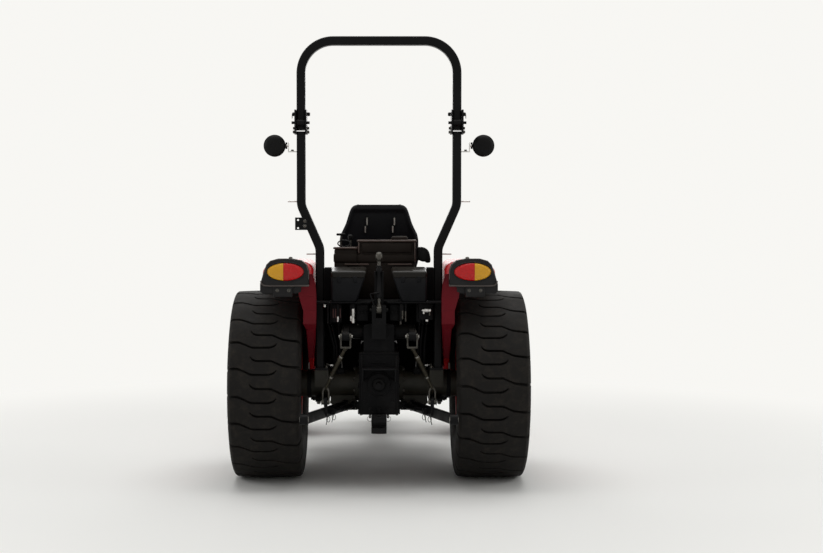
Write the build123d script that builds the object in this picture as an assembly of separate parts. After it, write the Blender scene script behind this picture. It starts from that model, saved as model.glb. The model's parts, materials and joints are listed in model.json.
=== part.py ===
from build123d import *
from collections import namedtuple
from math import cos, radians, sin
import os

# A compact farm tractor with an open station, a folding roll bar and a three-point hitch.
# Millimetres. X points to the right, Y ahead and Z up. Every piece is drawn from the rear
# axle line (y = 0) and the ground (z = 0). When it is saved it is moved along Y, so that
# the origin lies on the ground under the middle of the machine.

# ---- Clearances ----
SHAFT_GAP = 0.05        # radial, running fits
SEAT_GAP = 0.3          # between pieces that sit on each other
PIN_GAP = 1.5           # beside a fork's ears
FOLD_GAP = 0.6          # beside the roll bar's tubes, at the fold plates
MOVE_GAP = 6.0          # between pieces that move past each other

# ---- Machine ----
WHEELBASE = 1700.0
FRONT_OVERHANG = 600.0
HITCH_REACH = 780.0     # rear axle to the lower links' ball centres
BALL_R = 28.0
REAR_TRACK = 1280.0
FRONT_TRACK = 1240.0
MIDDLE_Y = (WHEELBASE + FRONT_OVERHANG - HITCH_REACH - BALL_R) / 2

# ---- Wheels ----
Wheel = namedtuple(
    "Wheel", "tyre_od tyre_width crown_width shoulder_drop carcass tread rim_dia rim_width lip drop disc_x")
REAR = Wheel(1092, 408, 330, 46, 18, 34, 508, 356, 22, 30, -60)
FRONT = Wheel(686, 214, 160, 26, 10, 22, 381, 178, 17, 20, -10)
RIM_WALL = 8.0
DISC_WALL = 12.0
REAR_AXLE_Z = REAR.tyre_od / 2
FRONT_AXLE_Z = FRONT.tyre_od / 2
REAR_HUB_R = 80.0
REAR_SHAFT_R = 40.0
REAR_SHAFT_DEPTH = 80.0
FRONT_HUB_R = 58.0
SPINDLE_R = 25.0
HUB_CAP = 12.0

# ---- Front axle and steering ----
PIVOT_HALF = 60.0       # the beam's pivot block on the frame
KINGPIN_X = FRONT_TRACK / 2 - 165
KINGPIN_R = 20.0
KINGPIN_EYE_R = KINGPIN_R + 22
BEAM_HALF_DEPTH = 38.0
BEAM_LOW_Z = FRONT_AXLE_Z - 38
BEAM_HIGH_Z = FRONT_AXLE_Z + 47
KNUCKLE_WALL = 32.0
KNUCKLE_WEB_X = (KINGPIN_X + KINGPIN_EYE_R + MOVE_GAP, FRONT_TRACK / 2 - 90)
KNUCKLE_HALF_DEPTH = 40.0
ARM_REACH = 135.0       # kingpin back to the tie rod
ARM_THICK = 20.0
TIE_ROD_R = 14.0
TIE_EYE_R = 22.0
TIE_PIN_R = 9.0
TIE_EYE_HIGH = 30.0

# ---- Chassis ----
TRANS_HALF = 113.0
TRANS_LOW_Z = 404.0
TRANS_HIGH_Z = 760.0
TRANS_REAR_Y = -330.0
ENGINE_REAR_Y = 900.0
ENGINE_FRONT_Y = WHEELBASE - 200
ENGINE_HALF = 165.0
ENGINE_HIGH_Z = 830.0
COLUMN_HALF = 87.0
COLUMN_FRONT_Y = -110.0
HOUSING_R = 77.0
HOUSING_END_X = REAR_TRACK / 2 - 168
FRAME_WALL = 30.0
FRAME_LOW_Z = BEAM_HIGH_Z + 50
BUMPER_HALF = 240.0
BUMPER_WALL = 41.0
BUMPER_Z = (410.0, 620.0)
BUMPER_HOLE_R = 9.0
BUMPER_HOLES_X = 260.0
BUMPER_HOLES_Z = 90.0
STAY_X = (90.0, 130.0)  # the bonnet's rest stands on two stays
TRAY_WALL = 16.0
FAN_Z = 690.0
RADIATOR_HALF = 175.0
RADIATOR_HIGH_Z = 985.0
BATTERY_HALF = 90.0
BATTERY_HIGH_Z = 760.0
EXHAUST_R = 22.0
EXHAUST_Y = 1250.0

# ---- Bonnet and dash ----
HOOD_REAR_Y = 1140.0
HOOD_FRONT_Y = WHEELBASE + FRONT_OVERHANG - 60
HOOD_HALF = 245.0
HOOD_NOSE_HALF = 205.0
HOOD_LOW_Z = 715.0
HOOD_REAR_Z = 1185.0
HOOD_FRONT_Z = 1075.0
HOOD_WALL = 6.0
HOOD_ROUND = 46.0
HOOD_PIVOT = (HOOD_REAR_Y + 30, HOOD_REAR_Z - 45)
HOOD_LUG_X = (112.0, 122.0)
HOOD_LUG_HALF = 22.0
HOOD_ARM_X = (HOOD_LUG_X[0] - 12, HOOD_LUG_X[0] - 2)
HOOD_ARM_LOW = 60.0
HOOD_PIN_R = 8.0
GRILLE_HALF = 150.0
GRILLE_Z = (745.0, 975.0)
LAMP_R = 48.0
LAMP_X = 92.0
LAMP_Z = GRILLE_Z[1] - 60
LAMP_LONG = 40.0
COWL_FRONT_Y = HOOD_REAR_Y - 30
COWL_REAR_Y = COWL_FRONT_Y - 145
COWL_HALF = 205.0
COWL_HIGH_Z = 1165.0
WHEEL_CENTRE = (0.0, 860.0, 1285.0)
COLUMN_FOOT = (0.0, 1010.0, 1090.0)
STEER_R = 185.0
STEER_GRIP_R = 13.0
STEER_SHAFT_R = 10.0
STEER_NECK_R = 34.0
PEDALS_XY = ((-255, 905), (235, 890), (315, 890))
PEDAL_Z = 690.0

# ---- Roll bar ----
ROPS_Y = -150.0
ROPS_WIDE_X = 447.0
ROPS_NARROW_X = 340.0
ROPS_TUBE = (50.0, 60.0)
ROPS_TUBE_ROUND = 10.0
ROPS_TOP_Z = 2555.0
ROPS_CORNER_R = 185.0
ROPS_BEND_R = 110.0
ROPS_BEND_Z = (1345.0, 1590.0)
ROPS_PLATE = 9.0
ROPS_PLATE_Y = (-80.0, 34.0)
FOLD_SHARE = 0.487      # where the fold pin lies between the posts' bends and the top
ROPS_PIVOT_Z = ROPS_BEND_Z[1] + FOLD_SHARE * (ROPS_TOP_Z - ROPS_BEND_Z[1])
ROPS_PLATE_Z = (ROPS_PIVOT_Z - 64, ROPS_PIVOT_Z + 74)
ROPS_POST_TOP_Z = ROPS_PIVOT_Z - 48
ROPS_HOOP_FOOT_Z = ROPS_PIVOT_Z - 40
ROPS_PIVOT_BACK = 52.0  # tube's centre line back to the fold pin
ROPS_PIN_R = 8.0
ROPS_LUG_R = 18.0
WARNING_X = 600.0
WARNING_Z = ROPS_PIVOT_Z - 128
WARNING_R = 63.5
WARNING_HALF_DEPTH = 22.0
ARM_X = 522.0           # the warning lamps' brackets, out to here
ARM_Z = (WARNING_Z - 37, WARNING_Z + 18)
ARM_WALL = 5.0
ARM_HALF = 15.0
ROD_R = 4.0
ROD_LONG = 52.0
RODS_Z = (1310.0, ROPS_BEND_Z[1] + 22)
HOLE_PLATE_X = (-481.0, -405.0)
HOLE_PLATE_Z = (1448.0, 1520.0)
HOLE_PLATE_WALL = 6.0
HOLE_R = 5.5
HOLE_X = -464.0
HOLES_Z = (1459.0, 1505.5)

# ---- Platform and fenders ----
FLOOR_Z = 560.0
FLOOR_WALL = 8.0
FLOOR_HALF = 560.0
FLOOR_FRONT_Y = 1130.0
FENDER_WALL = 5.0
FENDER_IN_X = ROPS_NARROW_X + ROPS_TUBE[0] / 2 + 7
FENDER_X = (FENDER_IN_X, FENDER_IN_X + 283)
FENDER_LIP = 34.0
FENDER_ROUND = 58.0     # along the inner edge of the top
FENDER_BEND_R = 90.0    # where the arch turns
FENDER_CUT_Z = 930.0    # the inner wall's rear end
FENDER_STRIP = 42.0     # the rear wall's strip beside the inner wall
ArchPoint = namedtuple("ArchPoint", "angle space")
ARCH = (ArchPoint(126.8, 171.0), ArchPoint(114.4, 265.0), ArchPoint(72.0, 231.0), ArchPoint(32.7, 119.0))
ARCH_FOOT_SPACE = 122.0     # from the tread to the fender's front foot
FENDER_FOOT_Y = REAR.tyre_od / 2 + ARCH_FOOT_SPACE
STEP_X = (FLOOR_HALF - 160, FLOOR_HALF)
STEP_Y = (FENDER_FOOT_Y + 92, FENDER_FOOT_Y + 312)
STEP_Z = 380.0
POD_Y = (-478.0, -340.0)
LENS_X = FENDER_X[0] + 146
LENS_HALF = (104.0, 50.5)
LENS_SPLIT_X = LENS_X + 11
LENS_DEPTH = 10.0
POD_CORNERS = ((-133, -81), (122, -81), (142, -53), (122, 7), (42, 70), (-88, 74), (-126, 32))

# ---- Station ----
DECK_Z = 1045.0
DECK_WALL = 8.0
DECK_REAR_Y = -360.0
DECK_FRONT_Y = 400.0
SEAT_HALF = 238.0
CUSHION_Z = (1128.0, 1215.0)
PAN_WALL = 8.0
SEAT_BACK_Y = 205.0
SEAT_FRONT_Y = 680.0
BACK_LEAN = 10.0
BACK_SHELL = 15.0
BACK_PAD = 57.0
BACK_OUTLINE = ((238, 0), (238, 190), (202, 260), (168, 373), (120, 391))
Box4 = namedtuple("Box4", "x y high round")
CONSOLE = (Box4((-123, 213), (-70, 110), 1389, 18), Box4((-263, -122), (-60, 90), 1348, 12))
BUMP = ((70, 170), (-40, 60), (1380, 1411))
PADDLE = ((212, 303), (-40, 60), (1266, 1348))
Lever = namedtuple("Lever", "x y high")
LEVERS = (Lever(-225, 0, 1420), Lever(-165, 20, 1405))
LEVER_R = 6.0
LEVER_KNOB_R = 17.0
COVER_X = (68.0, 270.0)
COVER_FOOT_X = 124.0        # the inner side slants out to here at the foot
COVER_Z = (1216.0, 1240.0)  # the lid's rear and front edges
COVER_FRONT_Y = -190.0
COVER_ROUND = 16.0
CHEEK_X = (COVER_X[1] + 5, ROPS_NARROW_X - ROPS_TUBE[0] / 2 - 3)
CHEEK_Y = (COVER_FRONT_Y + 4, -80.0)
CHEEK_HIGH_Z = 1232.0

# ---- Hitch ----
ROCK_Y = -235.0
ROCK_Z = 868.0
ROCK_R = 25.0
LIFT_X = 184.0
LIFT_END = (-500.0, 862.0)
LIFT_HALF = 13.0
LINK_Y = -80.0
LINK_Z = 425.0
LINK_FRONT_X = 195.0
LINK_REAR_X = 400.0
LINK_BALL_Z = 440.0
LINK_PIN_R = 12.0
SKIRT = ((128, 110), (128, -33), (252, -33), (284, 8), (284, 110))  # (x, height above the pins)
SKIRT_AHEAD = 45.0      # from the links' pins to the skirt
BALL_BORE_R = 11.3
BALL_WIDE = 44.0
ROD_FOOT_Y = -430.0
ROD_PIN_R = 9.0
ROD_SCREW_R = 12.0
ROD_SLEEVE_R = 18.0
FORK_HALF = 20.0
FORK_WALL = 10.0
FORK_DROP = 84.0        # the upper fork's pin down to the foot of its bridge
LOW_FORK_HIGH = 88.0
LUG_HALF = 9.0
LUG_HIGH = 56.0         # link's centre line up to the rod's foot pin
SLOT_LONG = 46.0
SLOT_HIGH = 32.0
LINK_BAR = (58.0, 20.0)
STAY_EYE_X = (140.0, 160.0)     # the stabilizers' front eyes, on the lower links' pins
STAY_END_Y = ROD_FOOT_Y + 60
STAY_TUBE_R = 13.0
STAY_SLEEVE_R = 18.0
LIFT_EYE_HALF = 20.0
ARM_HUB_R = 40.0
ARM_EYE_R = 24.0
ROCK_REACH = 205.0
TOP_LINK_Y = -378.0
TOP_LINK_Z = 1000.0
TOP_LINK_LEAN = 14.0
TOP_LINK_PIN_R = 9.5
TOP_LINK_LENGTH = 305.0
PTO_Z = 578.0
PTO_R = 17.5
PTO_LONG = 120.0
PTO_COVER_R = 70.0
SHIELD_HALF = 95.0
SHIELD_Z = (600.0, 674.0)
SHIELD_WALL = 6.0
CLIP_Z = (1185.0, 1215.0)
CLIP_Y = (-350.0, -292.0)
CLIP_HALF = 26.0
DRAWBAR_Z = (372.0, 403.0)
DRAWBAR_HALF = 40.0
JAW_Z = (342.0, 432.0)
JAW_Y = (-640.0, -520.0)
JAW_PIN_Y = -605.0
JAW_PIN_R = 12.5
HANGER_HALF = 122.0

SIDES = (("left", -1), ("right", 1))


# ---- Shapes used again and again ----
def block(x, y, z):
    """A box between pairs of coordinates."""
    centre = Pos((x[0] + x[1]) / 2, (y[0] + y[1]) / 2, (z[0] + z[1]) / 2)
    return centre * Box(abs(x[1] - x[0]), abs(y[1] - y[0]), abs(z[1] - z[0]))


def bar(start, end, radius):
    """A round bar between two points."""
    line = Vector(*end) - Vector(*start)
    middle = (Vector(*end) + Vector(*start)) * 0.5
    return Plane(origin=middle, z_dir=line) * Cylinder(radius, line.length)


def side_plate(points, x):
    """A plate seen from the side: (y, z) corners, between two x values."""
    face = make_face(Polyline(*points, close=True))
    return Pos(x[0], 0, 0) * extrude(Plane.YZ * face, amount=x[1] - x[0])


def rear_plate(points, y):
    """A plate seen from the rear: (x, z) corners, between two y values."""
    face = make_face(Polyline(*points, close=True))
    return Pos(0, y[1], 0) * extrude(Plane.XZ * face, amount=y[1] - y[0])


def rounded(part, axis, radius):
    """The part with all edges along one axis rounded."""
    return fillet(part.edges().filter_by(axis), radius)


def mirrored(part):
    return mirror(part, about=Plane.YZ)


def pair(part):
    """The piece on the right and its mirror image on the left."""
    return Compound([solid for half in (part, mirrored(part)) for solid in half.solids()])


def group(*parts):
    return Compound([solid for part in parts for solid in part.solids()])


def save(name, part):
    export_step(Pos(0, -MIDDLE_Y, 0) * part, f"parts/{name}.step")


# ---- Wheels, drawn about the origin with the outside towards +X ----
def tyre(wheel):
    """A hollow carcass whose outside is the tread's crown."""
    bead = (wheel.rim_width / 2 - RIM_WALL - SEAT_GAP, wheel.rim_dia / 2 + SEAT_GAP)
    lip = bead[1] + wheel.lip
    crown = wheel.tyre_od / 2
    shoulder = (wheel.crown_width / 2 + wheel.shoulder_drop * 0.6, crown - wheel.shoulder_drop)
    wall = (wheel.tyre_width / 2, (bead[1] + shoulder[1]) / 2)
    edge = wheel.crown_width / 2
    thin = wheel.carcass
    ply = crown - wheel.tread - thin
    inner_edge = (edge - thin, ply)

    def half(sign):
        foot = Line((sign * bead[0], bead[1]), (sign * bead[0], lip))
        outside = ThreePointArc((sign * bead[0], lip), (sign * wall[0], wall[1]),
                                (sign * shoulder[0], shoulder[1]))
        slope = Line((sign * shoulder[0], shoulder[1]), (sign * edge, crown))
        inside = ThreePointArc((sign * (bead[0] - thin), lip), (sign * (wall[0] - thin), wall[1]),
                               (sign * inner_edge[0], ply))
        heel = Line((sign * (bead[0] - thin), bead[1]), (sign * (bead[0] - thin), lip))
        toe = Line((sign * bead[0], bead[1]), (sign * (bead[0] - thin), bead[1]))
        return [foot, outside, slope, inside, heel, toe]

    top = Line((-edge, crown), (edge, crown))
    bottom = Line((-inner_edge[0], ply), (inner_edge[0], ply))
    face = make_face(half(1) + half(-1) + [top, bottom])
    return revolve(Plane.XZ * face, axis=Axis.X)


def rim(wheel):
    """A drop-centre barrel with two lips and a disc with hand holes."""
    half = wheel.rim_width / 2
    seat = wheel.rim_dia / 2
    lip = seat + wheel.lip
    well = half * 0.36
    low = seat - wheel.drop
    top = [(-half, lip), (-half + RIM_WALL, lip), (-half + RIM_WALL, seat), (-well - 12, seat),
           (-well, low), (well, low), (well + 12, seat), (half - RIM_WALL, seat),
           (half - RIM_WALL, lip), (half, lip)]
    under = [(half, seat - RIM_WALL), (well + 9, seat - RIM_WALL), (well - 3, low - RIM_WALL),
             (-well + 3, low - RIM_WALL), (-well - 9, seat - RIM_WALL), (-half, seat - RIM_WALL)]
    barrel = revolve(Plane.XZ * make_face(Polyline(*top, *under, close=True)), axis=Axis.X)
    inner = low - RIM_WALL + 2
    dish = wheel.drop
    x = wheel.disc_x
    disc = [(x, 0), (x, inner * 0.55), (x + dish, inner * 0.72), (x + dish, inner),
            (x + dish + DISC_WALL, inner), (x + dish + DISC_WALL, inner * 0.7),
            (x + DISC_WALL, inner * 0.53), (x + DISC_WALL, 0)]
    plate = revolve(Plane.XZ * make_face(Polyline(*disc, close=True)), axis=Axis.X)
    hole_r = inner * 0.11
    holes = [Rot(45 * turn, 0, 0) * Pos(x + dish, 0, inner * 0.84) * Rot(0, 90, 0)
             * Cylinder(hole_r, 4 * DISC_WALL) for turn in range(8)]
    return barrel + plate - holes


def rear_rim():
    """The rear rim with its hub and the end of its axle shaft."""
    inboard = HOUSING_END_X + MOVE_GAP - REAR_TRACK / 2
    hub = bar((inboard, 0, 0), (REAR.disc_x + DISC_WALL + 20, 0, 0), REAR_HUB_R)
    shaft = bar((inboard - REAR_SHAFT_DEPTH, 0, 0), (inboard + 1, 0, 0), REAR_SHAFT_R)
    return rim(REAR) + hub + shaft


def front_rim():
    """The front rim with a hub that runs on the knuckle's spindle."""
    inboard = KNUCKLE_WEB_X[1] + MOVE_GAP - FRONT_TRACK / 2
    outboard = FRONT.disc_x + DISC_WALL + HUB_CAP
    hub = bar((inboard, 0, 0), (outboard, 0, 0), FRONT_HUB_R)
    bore = bar((inboard - 1, 0, 0), (outboard - HUB_CAP, 0, 0), SPINDLE_R + SHAFT_GAP)
    return rim(FRONT) + hub - bore


def wheels():
    places = (("rear", REAR, rear_rim(), REAR_TRACK / 2, 0, REAR_AXLE_Z),
              ("front", FRONT, front_rim(), FRONT_TRACK / 2, WHEELBASE, FRONT_AXLE_Z))
    for end, wheel, hub_rim, x, y, z in places:
        rubber = Pos(x, y, z) * tyre(wheel)
        metal = Pos(x, y, z) * hub_rim
        save(f"{end}_tyre_right", rubber)
        save(f"{end}_tyre_left", mirrored(rubber))
        save(f"{end}_rim_right", metal)
        save(f"{end}_rim_left", mirrored(metal))


# ---- Chassis ----
def transmission():
    """The gear case with its rear column, bored for the rockshaft and the hitch pins."""
    case = block((-TRANS_HALF, TRANS_HALF), (TRANS_REAR_Y, ENGINE_REAR_Y), (TRANS_LOW_Z, TRANS_HIGH_Z))
    case = rounded(case, Axis.Y, 24)
    bell = block((-ENGINE_HALF, ENGINE_HALF), (ENGINE_REAR_Y - 120, ENGINE_REAR_Y),
                 (TRANS_LOW_Z + 10, ENGINE_HIGH_Z - 30))
    column = block((-COLUMN_HALF, COLUMN_HALF), (TRANS_REAR_Y + 10, COLUMN_FRONT_Y),
                   (TRANS_HIGH_Z - 10, ROCK_Z + 48))
    column = rounded(column, Axis.Y, 16)
    cover = bar((0, TRANS_REAR_Y - 14, PTO_Z), (0, TRANS_REAR_Y + 1, PTO_Z), PTO_COVER_R)
    shaft = bar((0, TRANS_REAR_Y - PTO_LONG, PTO_Z), (0, TRANS_REAR_Y, PTO_Z), PTO_R)
    rock = bar((-ROCK_REACH, ROCK_Y, ROCK_Z), (ROCK_REACH, ROCK_Y, ROCK_Z), ROCK_R + SHAFT_GAP)
    return case + bell + column + cover + shaft + link_ears() + mast() - rock


def link_ears():
    """The lower links' pins on the gear case."""
    inner = STAY_EYE_X[0] - MOVE_GAP
    reach = LINK_FRONT_X + 28
    ears = [block((sign * inner, sign * (TRANS_HALF - 5)), (LINK_Y - 34, LINK_Y + 40),
                  (LINK_Z - 20, LINK_Z + 20)) for _, sign in SIDES]
    return group(*ears) + bar((-reach, LINK_Y, LINK_Z), (reach, LINK_Y, LINK_Z), LINK_PIN_R)


def mast():
    """The fork that carries the top link."""
    body = block((-40, 40), (TOP_LINK_Y - 22, TRANS_REAR_Y + 60), (ROCK_Z - 30, TOP_LINK_Z + 24))
    half = 16 + PIN_GAP
    slot = block((-half, half), (TOP_LINK_Y - 40, TOP_LINK_Y + 45), (TOP_LINK_Z - 45, TOP_LINK_Z + 60))
    pin = bar((-52, TOP_LINK_Y, TOP_LINK_Z), (52, TOP_LINK_Y, TOP_LINK_Z), TOP_LINK_PIN_R)
    return body - slot + pin


def axle_housings():
    """Two trumpets from the gear case out to the wheels, bored for the axle shafts."""
    inner = TRANS_HALF + SEAT_GAP
    trumpet = bar((inner, 0, REAR_AXLE_Z), (HOUSING_END_X, 0, REAR_AXLE_Z), HOUSING_R)
    flange = bar((inner, 0, REAR_AXLE_Z), (inner + 26, 0, REAR_AXLE_Z), HOUSING_R + 26)
    pad = block((ROPS_NARROW_X - 50, ROPS_NARROW_X + 30), (ROPS_Y - 50, 50), (REAR_AXLE_Z, pad_top()))
    skirt = rear_plate([(x, LINK_Z + dz) for x, dz in SKIRT], (LINK_Y + SKIRT_AHEAD, 45))
    bore = bar((HOUSING_END_X - REAR_SHAFT_DEPTH - MOVE_GAP, 0, REAR_AXLE_Z),
               (HOUSING_END_X + 1, 0, REAR_AXLE_Z), REAR_SHAFT_R + SHAFT_GAP)
    return pair(trumpet + flange + pad + skirt - bore)


def pad_top():
    """The height of the pads that the roll bar's posts stand on."""
    return REAR_AXLE_Z + HOUSING_R + 19


def engine():
    """The engine as one plain block with its sump and the fan's hub."""
    main = block((-ENGINE_HALF, ENGINE_HALF), (ENGINE_REAR_Y + SEAT_GAP, ENGINE_FRONT_Y),
                 (FRAME_LOW_Z - 20, ENGINE_HIGH_Z))
    sump = block((-110, 110), (ENGINE_REAR_Y + 60, ENGINE_FRONT_Y - 60), (FRAME_LOW_Z - 90, FRAME_LOW_Z))
    fan = bar((0, ENGINE_FRONT_Y - 1, FAN_Z), (0, ENGINE_FRONT_Y + 90, FAN_Z), 40)
    return rounded(main, Axis.Y, 20) + sump + fan


def front_frame():
    """Two side rails on the engine, a tray, the axle's pivot block, the bumper and the bonnet's rest."""
    inner = ENGINE_HALF + SEAT_GAP
    nose = front_face() - BUMPER_WALL + 1
    rails = [block((sign * inner, sign * (inner + FRAME_WALL)), (ENGINE_REAR_Y + 80, nose),
                   (FRAME_LOW_Z, frame_top())) for _, sign in SIDES]
    cross = (-inner - 1, inner + 1)
    tray = block(cross, (ENGINE_FRONT_Y + 110, nose), (frame_top() - TRAY_WALL, frame_top()))
    pivot = block(cross, (WHEELBASE - PIVOT_HALF, WHEELBASE + PIVOT_HALF), (FRAME_LOW_Z, frame_top() - 10))
    rest_y = (HOOD_FRONT_Y - 45, HOOD_FRONT_Y - 15)
    stays = [block((sign * STAY_X[0], sign * STAY_X[1]), rest_y, (frame_top() - 1, HOOD_LOW_Z - 14))
             for _, sign in SIDES]
    ledge = block((-STAY_X[1] - 10, STAY_X[1] + 10), (rest_y[0], HOOD_FRONT_Y + 5),
                  (HOOD_LOW_Z - 15, HOOD_LOW_Z - SEAT_GAP))
    plate, holes = bumper()
    return rails[0] + rails[1] + tray + pivot + plate + stays + ledge - holes


def bumper():
    """The front plate, and the four bolt holes to cut from the frame."""
    plate = block((-BUMPER_HALF, BUMPER_HALF), (front_face() - BUMPER_WALL, front_face()), BUMPER_Z)
    middle = (BUMPER_Z[0] + BUMPER_Z[1]) / 2
    spots = [(x * BUMPER_HOLES_X / 2, middle + z * BUMPER_HOLES_Z / 2) for x in (-1, 1) for z in (-1, 1)]
    holes = [bar((x, front_face() - BUMPER_WALL - 1, z), (x, front_face() + 1, z), BUMPER_HOLE_R)
             for x, z in spots]
    return rounded(plate, Axis.Y, 24), holes


def front_face():
    return WHEELBASE + FRONT_OVERHANG


def frame_top():
    """The floor lies on the rails."""
    return FLOOR_Z - FLOOR_WALL - SEAT_GAP


def radiator():
    """The radiator and the battery, standing on the front frame's tray."""
    foot = frame_top() + SEAT_GAP
    core = block((-RADIATOR_HALF, RADIATOR_HALF), (ENGINE_FRONT_Y + 130, ENGINE_FRONT_Y + 210),
                 (foot, RADIATOR_HIGH_Z))
    battery = block((-BATTERY_HALF, BATTERY_HALF), (ENGINE_FRONT_Y + 260, ENGINE_FRONT_Y + 440),
                    (foot, BATTERY_HIGH_Z))
    return group(rounded(core, Axis.Y, 12), rounded(battery, Axis.Z, 6))


def exhaust():
    """An outlet pipe below the bonnet on the right of the engine."""
    out_x, y = ENGINE_HALF + 60, EXHAUST_Y
    path = FilletPolyline((ENGINE_HALF + SEAT_GAP, y, 640), (out_x, y, 640), (out_x, y, 480),
                          (out_x, y - 120, 420), radius=32)
    return sweep(Plane(origin=path @ 0, z_dir=path % 0) * Circle(EXHAUST_R), path=path)


# ---- Front axle ----
def axle_beam():
    """A cast beam with an eye for a kingpin at each end, under the pivot block."""
    reach = KINGPIN_X
    mid = (BEAM_LOW_Z + BEAM_HIGH_Z) / 2
    beam = block((-reach, reach), (WHEELBASE - BEAM_HALF_DEPTH, WHEELBASE + BEAM_HALF_DEPTH),
                 (BEAM_LOW_Z + 10, BEAM_HIGH_Z - 10))
    beam = rounded(beam, Axis.X, 14)
    eyes = [bar((sign * reach, WHEELBASE, BEAM_LOW_Z), (sign * reach, WHEELBASE, BEAM_HIGH_Z), KINGPIN_EYE_R)
            for _, sign in SIDES]
    bowl = Pos(0, WHEELBASE, mid) * Sphere(74)
    saddle = block((-60, 60), (WHEELBASE - 50, WHEELBASE + 50), (BEAM_HIGH_Z - 20, FRAME_LOW_Z - SEAT_GAP))
    bores = [bar((sign * reach, WHEELBASE, BEAM_LOW_Z - 1), (sign * reach, WHEELBASE, BEAM_HIGH_Z + 1),
                 KINGPIN_R + SHAFT_GAP) for _, sign in SIDES]
    return beam + eyes + bowl + saddle - bores


def knuckle():
    """The right knuckle: a cap and a foot on a kingpin, a web, a spindle and a steering arm."""
    x, y = KINGPIN_X, WHEELBASE
    low = (BEAM_LOW_Z - MOVE_GAP - KNUCKLE_WALL - 16, BEAM_LOW_Z - MOVE_GAP)
    high = (BEAM_HIGH_Z + MOVE_GAP, BEAM_HIGH_Z + MOVE_GAP + KNUCKLE_WALL)
    pin = bar((x, y, low[0]), (x, y, high[1]), KINGPIN_R)
    foot = bar((x, y, low[0]), (x, y, low[1]), KINGPIN_EYE_R)
    cap = bar((x, y, high[0]), (x, y, high[1]), KINGPIN_EYE_R)
    ledges = [block((x, KNUCKLE_WEB_X[1]), (y - KNUCKLE_HALF_DEPTH, y + KNUCKLE_HALF_DEPTH), z)
              for z in (low, high)]
    web = block(KNUCKLE_WEB_X, (y - KNUCKLE_HALF_DEPTH, y + KNUCKLE_HALF_DEPTH), (low[0], high[1]))
    hub_face = bar((KNUCKLE_WEB_X[0], y, FRONT_AXLE_Z), (KNUCKLE_WEB_X[1], y, FRONT_AXLE_Z), 62)
    spindle_end = FRONT_TRACK / 2 + FRONT.disc_x + DISC_WALL - 8
    spindle = bar((KNUCKLE_WEB_X[0], y, FRONT_AXLE_Z), (spindle_end, y, FRONT_AXLE_Z), SPINDLE_R)
    arm_z = (low[0] - 0.0, low[0] + ARM_THICK)
    arm = block((x - 20, x + 20), (y - ARM_REACH, y), arm_z)
    eye = bar((x, y - ARM_REACH, arm_z[0]), (x, y - ARM_REACH, arm_z[1]), TIE_EYE_R)
    bore = bar((x, y - ARM_REACH, arm_z[0] - 1), (x, y - ARM_REACH, arm_z[1] + 1), TIE_PIN_R + SHAFT_GAP)
    return pin + foot + cap + ledges + web + hub_face + spindle + arm + eye - bore


def tie_rod():
    """The rod between the knuckles' arms, with a pin down through each arm's eye."""
    y = WHEELBASE - ARM_REACH
    arm_top = BEAM_LOW_Z - MOVE_GAP - KNUCKLE_WALL - 16 + ARM_THICK
    z = arm_top + SEAT_GAP + TIE_EYE_HIGH / 2
    rod = bar((-KINGPIN_X, y, z), (KINGPIN_X, y, z), TIE_ROD_R)
    eyes = [bar((sign * KINGPIN_X, y, z - TIE_EYE_HIGH / 2), (sign * KINGPIN_X, y, z + TIE_EYE_HIGH / 2),
                TIE_EYE_R) for _, sign in SIDES]
    pins = [bar((sign * KINGPIN_X, y, arm_top - ARM_THICK - 6), (sign * KINGPIN_X, y, z), TIE_PIN_R)
            for _, sign in SIDES]
    return rod + eyes + pins


def front_axle():
    save("front_axle_beam", axle_beam())
    right = knuckle()
    save("knuckle_right", right)
    save("knuckle_left", mirrored(right))
    save("tie_rod", tie_rod())


# ---- Bonnet, dash and steering ----
def hood_form(inset):
    """The bonnet's outside, or its inside when it is inset by the wall."""
    rear, nose = HOOD_REAR_Y, HOOD_FRONT_Y - inset
    drop = inset
    profile = [(rear - 2 * inset, HOOD_LOW_Z - 2 * inset), (rear - 2 * inset, HOOD_REAR_Z - drop),
               (nose - 260, HOOD_FRONT_Z - drop), (nose - 90, HOOD_FRONT_Z - 35 - drop),
               (nose, HOOD_FRONT_Z - 150 - drop), (nose, HOOD_LOW_Z - 2 * inset)]
    body = side_plate(profile, (-HOOD_HALF, HOOD_HALF))
    wide, slim = HOOD_HALF - inset, HOOD_NOSE_HALF - inset
    plan = [(-wide, rear - 2 * inset), (wide, rear - 2 * inset), (wide, nose - 420), (slim, nose - 40),
            (slim - 50, nose), (50 - slim, nose), (-slim, nose - 40), (-wide, nose - 420)]
    outline = make_face(Polyline(*plan, close=True))
    body = body & (Pos(0, 0, HOOD_LOW_Z - 60) * extrude(outline, amount=900))
    top = [edge for edge in body.edges() if abs(edge.center().X) > slim * 0.9
           and edge.center().Z > HOOD_FRONT_Z - 100 and abs((edge % 0.5).Y) > 0.5]
    return fillet(top, HOOD_ROUND - inset)


def hood():
    """The bonnet shell with a mouth for the grille and two bored lugs for its pins."""
    shell = hood_form(0) - hood_form(HOOD_WALL)
    mouth = block((-GRILLE_HALF, GRILLE_HALF), (HOOD_FRONT_Y - 60, HOOD_FRONT_Y + 20), GRILLE_Z)
    y, z = HOOD_PIVOT
    lugs = [block((sign * HOOD_LUG_X[0], sign * HOOD_LUG_X[1]), (y - HOOD_LUG_HALF, y + HOOD_LUG_HALF),
                  (z - HOOD_LUG_HALF, HOOD_REAR_Z - HOOD_WALL)) for _, sign in SIDES]
    bore = bar((-HOOD_LUG_X[1] - 1, y, z), (HOOD_LUG_X[1] + 1, y, z), HOOD_PIN_R + SHAFT_GAP)
    return shell - mouth + lugs - bore


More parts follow.
